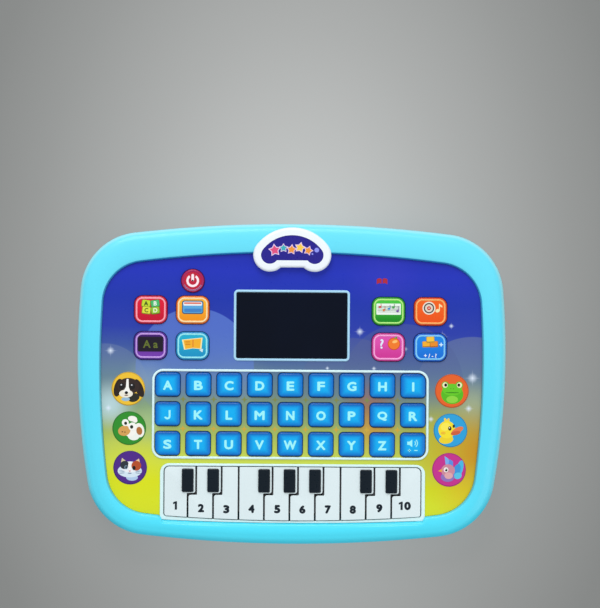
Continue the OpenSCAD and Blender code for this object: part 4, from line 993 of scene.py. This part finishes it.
# Pictures in hundredths of the disc's radius, drawn one over another: the ground's colour, then ellipses as
# (x, y, half width, half height, turn, colour) and polygons as ([points], colour)
animalArt = {
    "cat": [(78, 36, 140), [
        (12, -60, 36, 20, 0, (176, 204, 238)), ([(-60, 10), (-50, 60), (-14, 30)], (214, 204, 160)),
        ([(66, 6), (54, 56), (16, 30)], (240, 206, 160)), (-2, -20, 74, 40, 0, (214, 234, 248)),
        (0, 4, 56, 34, 0, (238, 244, 250)), (-34, 16, 27, 25, 20, (44, 54, 62)), (38, 12, 30, 30, -20, (184, 78, 34)),
        (-2, 10, 10, 26, 0, white), (-25, 2, 10, 12, 0, (120, 150, 170)), (24, -2, 10, 13, 0, (30, 24, 24)),
        (-24, 2, 5, 8, 0, black), ([(-9, -18), (5, -18), (-2, -26)], (216, 120, 140)),
        (-2, -34, 12, 3, 0, (130, 140, 170)), (-50, -33, 17, 1.6, 6.3, (120, 140, 170)),
        (-50, -21, 17, 1.6, -4.5, (120, 140, 170)), (50, -33, 17, 1.6, -6.3, (120, 140, 170)),
        (50, -21, 17, 1.6, 4.5, (120, 140, 170))]],
    "sheep": [(44, 146, 40), [
        (62, -12, 30, 44, 12, (246, 246, 238)), (28, -42, 38, 32, 0, (240, 246, 238)),
        (4, -12, 38, 40, 0, (248, 248, 240)), (62, -16, 18, 25, 10, (180, 112, 52)),
        (-30, -16, 38, 31, 12, (216, 162, 84)), (20, 58, 28, 17, -8, (250, 248, 242)),
        (36, 46, 14, 12, 0, (250, 248, 242)), (-24, 34, 21, 21, 0, white), (20, 10, 25, 25, 0, white),
        (-22, 30, 9, 10, 0, (28, 44, 34)), (15, 8, 10, 11, 0, (28, 44, 34)), (-42, -22, 4, 3, 0, brown),
        (-26, -24, 4, 3, 0, brown)]],
    "dog": [(242, 196, 48), [
        (34, -54, 36, 26, 20, (40, 42, 34)), (-16, -64, 26, 12, 0, (150, 190, 216)),
        (-62, 6, 25, 56, -14, (44, 32, 28)), (66, 4, 24, 58, 22, (44, 32, 28)), (0, 16, 68, 50, 0, brown),
        (-14, -30, 42, 24, 0, (240, 236, 220)),
        ([(-11, 60), (1, 60), (3, 10), (14, -22), (-34, -22), (-15, 10)], white), (-40, 16, 17, 19, 0, dark),
        (24, 15, 17, 19, 0, dark), (-43, 24, 5, 5, 0, (196, 200, 206)), (21, 23, 5, 5, 0, (196, 200, 206)),
        (-12, -24, 10, 9, 0, black), (-12, -40, 12, 3, 0, (124, 84, 74))]],
    "bird": [(198, 42, 142), [
        ([(-28, 84), (-6, 70), (22, 18), (-20, 22)], (120, 174, 238)),
        ([(2, 66), (24, 52), (26, 10), (-6, 20)], (86, 140, 226)), (66, 8, 20, 52, -14, (64, 184, 232)),
        (46, -6, 22, 44, -20, (56, 150, 222)), (54, -36, 24, 20, 20, (86, 196, 232)),
        (-8, -44, 42, 30, 0, (142, 112, 190)), (-6, -4, 42, 38, 0, (206, 136, 156)),
        (-2, -36, 26, 20, 0, (226, 168, 172)), ([(-42, 6), (-44, -14), (-68, -8)], (238, 164, 60)),
        (-18, 0, 14, 15, 0, white), (-17, -1, 8, 9, 0, black), (-20, 3, 3, 3, 0, white)]],
    "duck": [(36, 162, 222), [
        (-26, -56, 44, 26, 8, (240, 212, 36)), (-30, 60, 8, 17, 24, (246, 214, 66)),
        (-14, 60, 8, 15, -12, (246, 214, 66)), (-22, 4, 52, 54, 0, (248, 226, 40)),
        (-30, 22, 30, 24, 20, (252, 236, 84)), (42, 0, 40, 17, 28, (232, 122, 74)),
        (32, -16, 30, 12, 12, (210, 92, 52)), (-4, 12, 10, 13, 0, black), (20, 26, 7, 10, 0, (40, 34, 26)),
        (-6, 16, 3.5, 3.5, 0, white), (-44, -16, 14, 8, 0, (244, 190, 44))]],
    "frog": [(232, 96, 30), [
        (-40, 34, 23, 24, 0, (84, 180, 24)), (44, 34, 23, 24, 0, (84, 180, 24)), (2, -20, 68, 60, 0, (84, 188, 22)),
        (2, 8, 60, 36, 0, (100, 204, 28)), (-42, 36, 16, 17, 0, sclera), (46, 36, 16, 17, 0, sclera),
        (-38, 36, 8.5, 9.5, 0, black), (42, 36, 8.5, 9.5, 0, black), (2, -10, 42, 2.8, 0, (52, 136, 16)),
        (-6, 14, 2.5, 2, 0, (52, 136, 16)), (10, 14, 2.5, 2, 0, (52, 136, 16)), (2, -52, 36, 22, 0, (140, 216, 60))]],
}


# Path of a shape in the table above, for a disc of radius r; a hundredth is drawn a little smaller than it is
def animalPath(shape, r):
    return (np.array(shape[0]) if len(shape) == 2 else ellipse(*shape[:5]))*r*touchSet["artScale"]


# Touch pictures: a disc with a darker rim under the animal, three down each side, leaning outwards as they go down
for k, (kind, (ground, shapes)) in enumerate(animalArt.items()):
    row, r, z = k % 3 - 1, touchSet["d"]/2, heights["face"] + touchSet["rise"]
    at = np.array([touchSet["shift"] + (-1 if k < 3 else 1)*(touchSet["x"] + row*touchSet["lean"]),
                   touchSet["y"] + row*touchSet["pitch"]])
    parts = [turned([(r, heights["face"] - 0.2), (r, z - 0.1), (r - 0.1, z - 0.05)], at, 0, 72),
             turned([(r - touchSet["rim"], z - 0.1), (r - touchSet["rim"], z - 0.03)], at, 1, 72)]
    materials = [ink(shade(ground, 0.82)), ink(ground)]
    stack([(animalPath(shape, r), shape[-1]) for shape in shapes], at, z - 0.1, z - touchSet["artDown"],
          touchSet["artStep"], parts, materials)
    makePiece("touchPicture_" + kind, parts, materials, weld=False)
print("touch pictures made")

badge = {"archR": 25.0, "y": 62.4, "lobeR": 9.3, "lobeX": 12.5, "lobeY": 9.5, "notch": 2.4, "rim": 4.4, "rise": 1.4,
         "shoulder": 1.7, "rimR": 0.5, "rimD": 0.55, "sunk": 0.28, "tipIn": 0.56, "inner": 0.76, "starTurn": 98,
         "turnStep": 7}
badgeMaterials = [plastic("badgeWhite", (240, 248, 255), 0.26, coat=0.4, vary=0.01),
                  plastic("badgeBlue", (34, 28, 142), 0.3)]
badgeMaterials += [ink(colour) for colour in ((226, 78, 128), (56, 178, 190), (240, 150, 56), (142, 150, 246),
                                              (250, 206, 76), (232, 206, 240))]
# Two-tone stars on the badge: x, y, radius, material of the inner one
badgeStars = [(-9.8, 12.2, 3.7, 2), (-4.9, 13.4, 2.7, 3), (-0.4, 12.6, 3.1, 4), (4.3, 13.7, 3.3, 6),
              (8.9, 12.1, 2.9, 4)]
badgeDots = [(13.6, 12.4, 1.3, 24), (11.2, 10.2, 0.5, 16)]  # x, y, radius, points


# Badge edge: a lobe, the arch over the middle and the other lobe, as three arcs that meet smoothly
def badgePath(inset):
    x, y, r = badge["lobeX"], badge["y"] + badge["lobeY"], badge["lobeR"] - inset
    lean = bearing((0, 0), (x, badge["lobeY"]))
    start = -180 + math.degrees(math.asin((badge["lobeR"] - badge["notch"] - inset*0.9)/r))
    arch = arc((0, badge["y"]), badge["archR"] - inset, lean, 180 - lean, 28)
    return np.concatenate([arc((x, y), r, start, lean, 20), arch, arc((-x, y), r, 180 - lean, 180 - start, 20)])


# A white plate with a rounded shoulder, its rim falling to the sunk field with its stars and two dots
def badgeParts():
    top, rim, z = heights["top"] + badge["rise"], badge["rim"], heights["top"] + badge["rise"] - badge["sunk"]
    profile = [(0.15, heights["face"] + 0.02), (0.0, heights["face"] + 0.4)]
    profile += shoulder(top, badge["shoulder"], 8, 88)
    profile += [(rim - badge["rimR"]*math.cos(a), top - badge["rimD"]*(1 - math.sin(a)))
                for a in np.radians(np.linspace(90, 20, 5))]
    parts = [loft(ringsOf(badgePath, profile)), slab(badgePath(rim + 0.02), top - 0.8, top - 0.3, 1)]
    for n, (x, y, r, inner) in enumerate(badgeStars):
        turn = badge["starTurn"] - badge["turnStep"]*n
        parts += [slab(star(x, badge["y"] + y, r*grow, 5, badge["tipIn"], turn), z - 0.1,
                       z + 0.02*step + 0.004*n, material)
                  for step, (grow, material) in enumerate([(1.0, 7), (badge["inner"], inner)])]
    return parts + [slab(circle(r, (x, badge["y"] + y), n), z - 0.1, z, 5) for x, y, r, n in badgeDots]


makePiece("badgePlate", badgeParts(), badgeMaterials, ["badge"], weld=False)
print("badge made")

box = {"y": -24.0, "l": 50.5, "d": 32.7, "wall": 1.5, "top": 14.3, "roof": 1.2, "doorW": 70.0, "doorD": 36.7,
       "doorT": 1.1, "doorR": 1.0, "r": 0.3, "screwX": 30.0, "gap": 0.2}
speaker = {"x": -63.0, "y": -14.0, "d": 40.0, "slots": 7, "pitch": 4.0, "rim": 3.0, "collar": 3.5}
screws = {"span": 90.0, "up": 48.0, "down": -22.0, "corner": -48.0, "bore": 2.8, "thread": 1.3, "boss": 3.2,
          "seat": 5.8}
feet = {"x": 84.0, "y": 56.0, "r": 5.5, "deep": 0.5}


# Places of the case screws, all midway between the case's edge and the face's: the ring points nearest to a
# given x or y, and the ones furthest out towards the corner
def screwPlaces():
    rings = [outline(caseOutline, 0, 60), outline(faceOutline, 0, 60)]
    corner = np.array([math.cos(math.radians(screws["corner"])), math.sin(math.radians(screws["corner"]))])
    places = []
    for key, axis in ((screws["span"]/2, 0), (screws["up"], 1), (screws["down"], 1)):
        sides = [ring[ring[:, 1 - axis] > 0] for ring in rings]
        places.append(sum(side[np.argmin(np.abs(side[:, axis] - key))] for side in sides)/2)
    places.append(sum(ring[np.argmax(ring @ corner)] for ring in rings)/2)
    return [place*(side, 1) for place in places for side in (-1, 1)]


# Slots of the speaker's grille, each as long as the circle inside its rim is wide there
def slotPaths():
    pitch, half = speaker["pitch"], (speaker["slots"] - 1)/2
    rows = (np.arange(speaker["slots"]) - half)*pitch
    reaches = np.sqrt((speaker["d"]/2 - speaker["rim"])**2 - rows**2)
    return [roundedBox(2*reach - pitch/2, pitch/2, 0.9, (speaker["x"], speaker["y"] + y), n=4)
            for reach, y in zip(reaches, rows)]


# Back shell: its skin outside and in with the tongue between them, two floors with their openings, the battery box,
# screw wells, foot seats and the speaker's collar
def shellParts():
    back, floorZ, split, edge = heights["back"], heights["floor"], heights["split"], case["backEdge"]

    # The rounded lower edge, outside or inside: (edge - r cos a, back + edge + r sin a)
    def underside(r, a0, a1, steps):
        return [(edge - r*math.cos(a), back + edge + r*math.sin(a)) for a in np.radians(np.linspace(a0, a1, steps))]

    seam, tongue = case["seam"], split + 1.8
    profile = underside(edge, -90, 0, 9) + [(0, split - seam), (seam, split), (2.2, split), (2.2, tongue)]
    profile += [(3.2, tongue), (3.2, split - 2.5), (2.0, split - 2.7)] + underside(edge - 2, 0, -90, 6)
    rings = ringsOf(lambda inset: outline(caseOutline, inset), profile)
    rim, middle, roof = outline(caseOutline, edge), (0, box["y"]), box["top"] + box["roof"]
    doorHole = roundedBox(box["doorW"], box["doorD"], box["doorR"], middle, -box["gap"], n=4)
    inner, outer = (roundedBox(box["l"] + 2*out, box["d"] + 2*out, box["r"], middle, n=2)
                    for out in (0, box["wall"]))
    ledge, slots, places = back + box["doorT"] + 0.1, slotPaths(), screwPlaces()
    bores, bosses = ([circle(screws[key], place) for place in places] for key in ("bore", "boss"))
    footHoles = [circle(feet["r"] + 0.2, (x*feet["x"], y*feet["y"]), 48) for x in (-1, 1) for y in (-1, 1)]
    bare = {"capLow": False, "capHigh": False}
    parts = [loft(rings, **bare), plate([rim, doorHole] + slots + bores + footHoles, back, back),
             plate([rim, outer] + slots + bosses, floorZ, floorZ), plate([doorHole, inner], ledge, ledge),
             slab(doorHole, back, ledge, **bare), slab(inner, ledge, box["top"], capLow=False),
             slab(outer, floorZ, roof, capLow=False)]
    parts += [slab(slot, back, floorZ, **bare) for slot in slots]
    well = [(screws["bore"], back), (screws["bore"], screws["seat"]), (screws["thread"], screws["seat"]),
            (screws["thread"], split), (screws["boss"], split), (screws["boss"], floorZ)]
    parts += [turned(well, place, 0, 32, **bare) for place in places]
    parts += [slab(hole, back, back + feet["deep"], capLow=False) for hole in footHoles]
    r, high = speaker["d"]/2, floorZ + speaker["collar"]
    collar = [(r + 0.2, floorZ), (r + 0.2, high), (r + 2, high), (r + 2, floorZ)]
    return parts + [turned(collar, (speaker["x"], speaker["y"]), closed=True)]


makePiece("backShell", shellParts(), [backMaterial], ["rear_shell"])

steelMaterial = sheer("brightSteel", 600.0, (176, 178, 182), (206, 208, 212), 0.3, metallic=1.0)
doorScrew = {"well": 2.6, "head": 0.45, "headR": 2.4, "length": 7.05, "shankR": 1.1, "cross": 1.6, "slot": 0.3}


# Cross-headed screw, head down: the head's underside is at z and its shank rises from there. The cross is one
# corner turned four times
def screwParts(at, z):
    head, slot = doorScrew["head"], doorScrew["slot"]
    corner = [(slot, slot), (slot, doorScrew["cross"]), (-slot, doorScrew["cross"])]
    cross = np.concatenate([turnedBy(corner, turn) for turn in (0, 90, 180, 270)]) + at
    r, shankR = doorScrew["headR"], doorScrew["shankR"]
    profile = [(r, z - head), (r, z), (shankR, z), (shankR, z + doorScrew["length"])]
    return [plate([circle(r, at), cross], z - head, z - head, 1),
            slab(cross, z - head, z - head/2, 1, capLow=False, capHigh=False),
            plate([cross], z - head/2, z - head/2, 1), turned(profile, at, 1, 32, capLow=False)]


# Battery door: a plate, a block that fills the box's mouth, and its two screws in their wells
def doorParts():
    back, inside, middle = heights["back"], heights["back"] + box["doorT"], (0, box["y"])
    places = [(side*box["screwX"], box["y"]) for side in (-1, 1)]
    wells = [circle(doorScrew["well"], place) for place in places]
    panel = roundedBox(box["doorW"], box["doorD"], box["doorR"], middle, n=4)
    block = roundedBox(box["l"] - 2*box["gap"], box["d"] - 2*box["gap"], box["r"], middle, n=2)
    parts = [plate([panel] + wells, back, inside, edge=0.12), slab(block, inside - 0.05, heights["floor"])]
    for place, well in zip(places, wells):
        parts += [slab(well, back + 0.5, inside), *screwParts(place, back + doorScrew["head"])]
    return parts


makePiece("doorPanel", doorParts(), [plastic("doorBlue", case["backColour"], 0.45), steelMaterial],
          ["battery_door"], "battery_door", weld=False)
print("back shell and door made")

# Three cells side by side, every second one turned round: bare ends, a dark wrap, a gold band at the plus end
cell = {"d": 10.5, "l": 44.5, "end": 24.75, "nub": 1.0, "nubR": 1.9, "pitch": 10.8, "z": 8.75, "band": 12.0}
contact = {"t": 0.4, "w": 8.4, "h": 8.0, "coil": 5.0, "coilR": 3.4, "tipR": 2.5, "wire": 0.35, "turns": 4}
cellMaterials = [steelMaterial, plastic("cellWrap", (28, 74, 56), 0.35),
                 plastic("cellBand", (206, 158, 66), 0.3)]


# Rings about an axis along x, from a profile of (place along x, radius): (x, y + r cos t, z + r sin t)
def barrel(profile, y, way, material):
    t = np.linspace(0, 2*math.pi, 40, endpoint=False)
    return loft([np.column_stack([np.full(40, x*way), y + r*np.cos(t), cell["z"] + r*np.sin(t)]) for x, r in profile],
                material)


# Spring: a wire round the axis, its place along x growing with the angle and its radius shrinking
def coil(y, way):
    t, wire = np.linspace(0, 1, 97)[:, None], contact["wire"]
    a = np.linspace(0, 2*math.pi, 8, endpoint=False)[None, :]
    r = contact["coilR"] + (contact["tipR"] - contact["coilR"])*t + wire*np.cos(a)
    turn = 2*math.pi*contact["turns"]*t
    x = -box["l"]/2 + contact["t"] + wire + (contact["coil"] - 2*wire)*t + wire*np.sin(a)
    return loft(np.stack([x*way, y + r*np.cos(turn), cell["z"] + r*np.sin(turn)], -1))


contactParts = []
for k in range(3):
    y, way, end, r = box["y"] + (k - 1)*cell["pitch"], 1 - 2*(k % 2), cell["end"], cell["d"]/2
    low, high = end - cell["l"], end - cell["nub"]
    profile = [(low, r - 1.6), (low, r - 0.5), (low + 0.3, r - 0.1), (low + 1.2, r - 0.05), (low + 1.2, r),
               (high - cell["band"], r), (high - 1.0, r), (high - 1.0, r - 0.05), (high - 0.3, r - 0.1),
               (high, r - 0.5), (high, cell["nubR"]), (end, cell["nubR"])]
    makePiece("cell_%d" % (k + 1), [barrel(profile, y, way, [0, 0, 0, 1, 1, 2, 0, 0, 0, 0, 0])], cellMaterials,
              ["batteries"] if k == 0 else ())
    for side in (-1, 1):
        path = roundedBox(contact["t"] - 0.02, contact["w"], 0.15, (side*way*(box["l"] - contact["t"])/2, y), n=2)
        contactParts.append(slab(path, cell["z"] - contact["h"]/2, cell["z"] + contact["h"]/2))
    contactParts.append(coil(y, way))
makePiece("contactSprings", contactParts, [steelMaterial], ["battery_contacts"])
print("cells and contacts made")

# Nodes that stay as they came, with a material of their own
carried = {"rubber_feet": plastic("footRubber", (58, 58, 62), 0.75, spread=0.08), "case_screws": steelMaterial,
           "circuit_board": plastic("boardGreen", (26, 96, 52), 0.4, coat=0.3),
           "dome_mat": plastic("matGrey", (190, 192, 198), 0.6),
           "speaker": plastic("speakerBlack", (32, 32, 34), 0.6),
           "led_matrix": plastic("moduleBlack", (14, 16, 20), 0.5)}
for node, material in carried.items():
    for materialSlot in frame["nodes"][node].material_slots:
        materialSlot.material = material
print("carried nodes coloured")

# What the camera looks at, its height above the case in metres, its turn in degrees, and the millimetres that one
# line of its picture spans
view = {"distance": 1.3, "scale": 0.5568, "x": 4.8, "y": 44.7, "roll": 0.4, "frameH": 608, "sensor": 36.0}
# Floor tones by distance from there, a painted pool of light brightest under the camera, where a metre counts as so
# many units across and along
floorSet = {"stops": [(0, 213), (20, 193), (40, 173), (60, 153), (76, 138), (92, 134), (150, 158), (300, 176)],
            "across": 387.5, "along": 255.4, "half": 4.0, "share": 0.3, "glow": 0.674}
sky = {"light": (0.62, 0.62, 0.62, 1), "mirrored": (0.28, 0.28, 0.29, 1), "seen": (170, 172, 171)}
# Lamps: place and size in metres, power in watts
lamps = {"keyLamp": ((-0.22, 1.05, 0.9), 0.8, 10.2), "fillLamp": ((1.0, -0.45, 1.2), 0.9, 4.0)}


# Floor: its tone, a painted pool of light, goes by the length of (x across, y along). Part of it is lit and the rest is
# its own glow; from below it is clear
def makeFloorMaterial():
    material, tree, place = newMaterial("floorGrey", 0.9, specular=0.1)
    surface, reach = tree.nodes["Principled BSDF"], floorSet["stops"][-1][0]
    place = vectorNode(tree, "ADD", {0: place, 1: (-view["x"]*mm, -view["y"]*mm, 0)})[0]
    far = vectorNode(tree, "MULTIPLY", {0: place, 1: (floorSet["across"], floorSet["along"], 0)})[0]
    far = vectorNode(tree, "LENGTH", {0: far})["Value"]
    share = addNode(tree, "ShaderNodeMapRange", {0: far, 1: 0.0, 2: float(reach)}).outputs[0]
    tone = ramp(tree, share, [(stop/reach, (level - 1, level + 1, level)) for stop, level in floorSet["stops"]])
    paint(tree, mixColour(tree, 1.0, tone, (floorSet["share"],)*3 + (1,), "MULTIPLY"))
    tree.links.new(tone, surface.inputs["Emission Color"])
    surface.inputs["Emission Strength"].default_value = floorSet["glow"]
    below = addNode(tree, "ShaderNodeNewGeometry").outputs["Backfacing"]
    clear = addNode(tree, "ShaderNodeBsdfTransparent").outputs[0]
    both = addNode(tree, "ShaderNodeMixShader", {0: below, 1: surface.outputs[0], 2: clear})
    tree.links.new(both.outputs[0], tree.nodes["Material Output"].inputs["Surface"])
    return material


floorMesh = bpy.data.meshes.new("floor")
floorMesh.from_pydata([(x*floorSet["half"], y*floorSet["half"], 0) for x, y in ((-1, -1), (1, -1), (1, 1), (-1, 1))],
                      [], [(0, 1, 2, 3)])
floorMesh.materials.append(makeFloorMaterial())
addObject("floor", floorMesh)

# The surroundings: one grey as light, a darker one in reflections, another to the camera
world = bpy.data.worlds.new("studio")
bpy.context.scene.world = world
world.use_nodes = True
rays = addNode(world.node_tree, "ShaderNodeLightPath").outputs
skyTone = mixColour(world.node_tree, rays["Is Glossy Ray"], sky["light"], sky["mirrored"])
skyTone = mixColour(world.node_tree, rays["Is Camera Ray"], skyTone, linear(sky["seen"]))
background = world.node_tree.nodes["Background"].inputs
world.node_tree.links.new(skyTone, background["Color"])
background["Strength"].default_value = 1.0

for name, (place, size, watts) in lamps.items():
    light = bpy.data.lights.new(name, "AREA")
    light.shape = "SQUARE"
    light.size = size
    light.energy = watts
    lamp = addObject(name, light)
    lamp.location = place
    x, y, z = place  # it is aimed at the origin
    lamp.rotation_euler = (math.atan2(math.hypot(x, y), z), 0, math.atan2(-x, y) + math.pi)
print("floor, surroundings and lamps made")

# Camera straight above, its lens set so that the frame's height spans frameH times scale millimetres
cameraData = bpy.data.cameras.new("camera")
camera = addObject("camera", cameraData)
bpy.context.scene.camera = camera
aimX, aimY = turnedBy([(view["x"], view["y"])], view["roll"])[0]
camera.location = (aimX*mm, aimY*mm, view["distance"] + heights["top"]*mm)
camera.rotation_euler = (0, 0, math.radians(view["roll"]))
cameraData.sensor_width = view["sensor"]
cameraData.lens = view["sensor"]*view["distance"]/(view["frameH"]*view["scale"]*mm)
bpy.context.scene.view_settings.view_transform = "Standard"
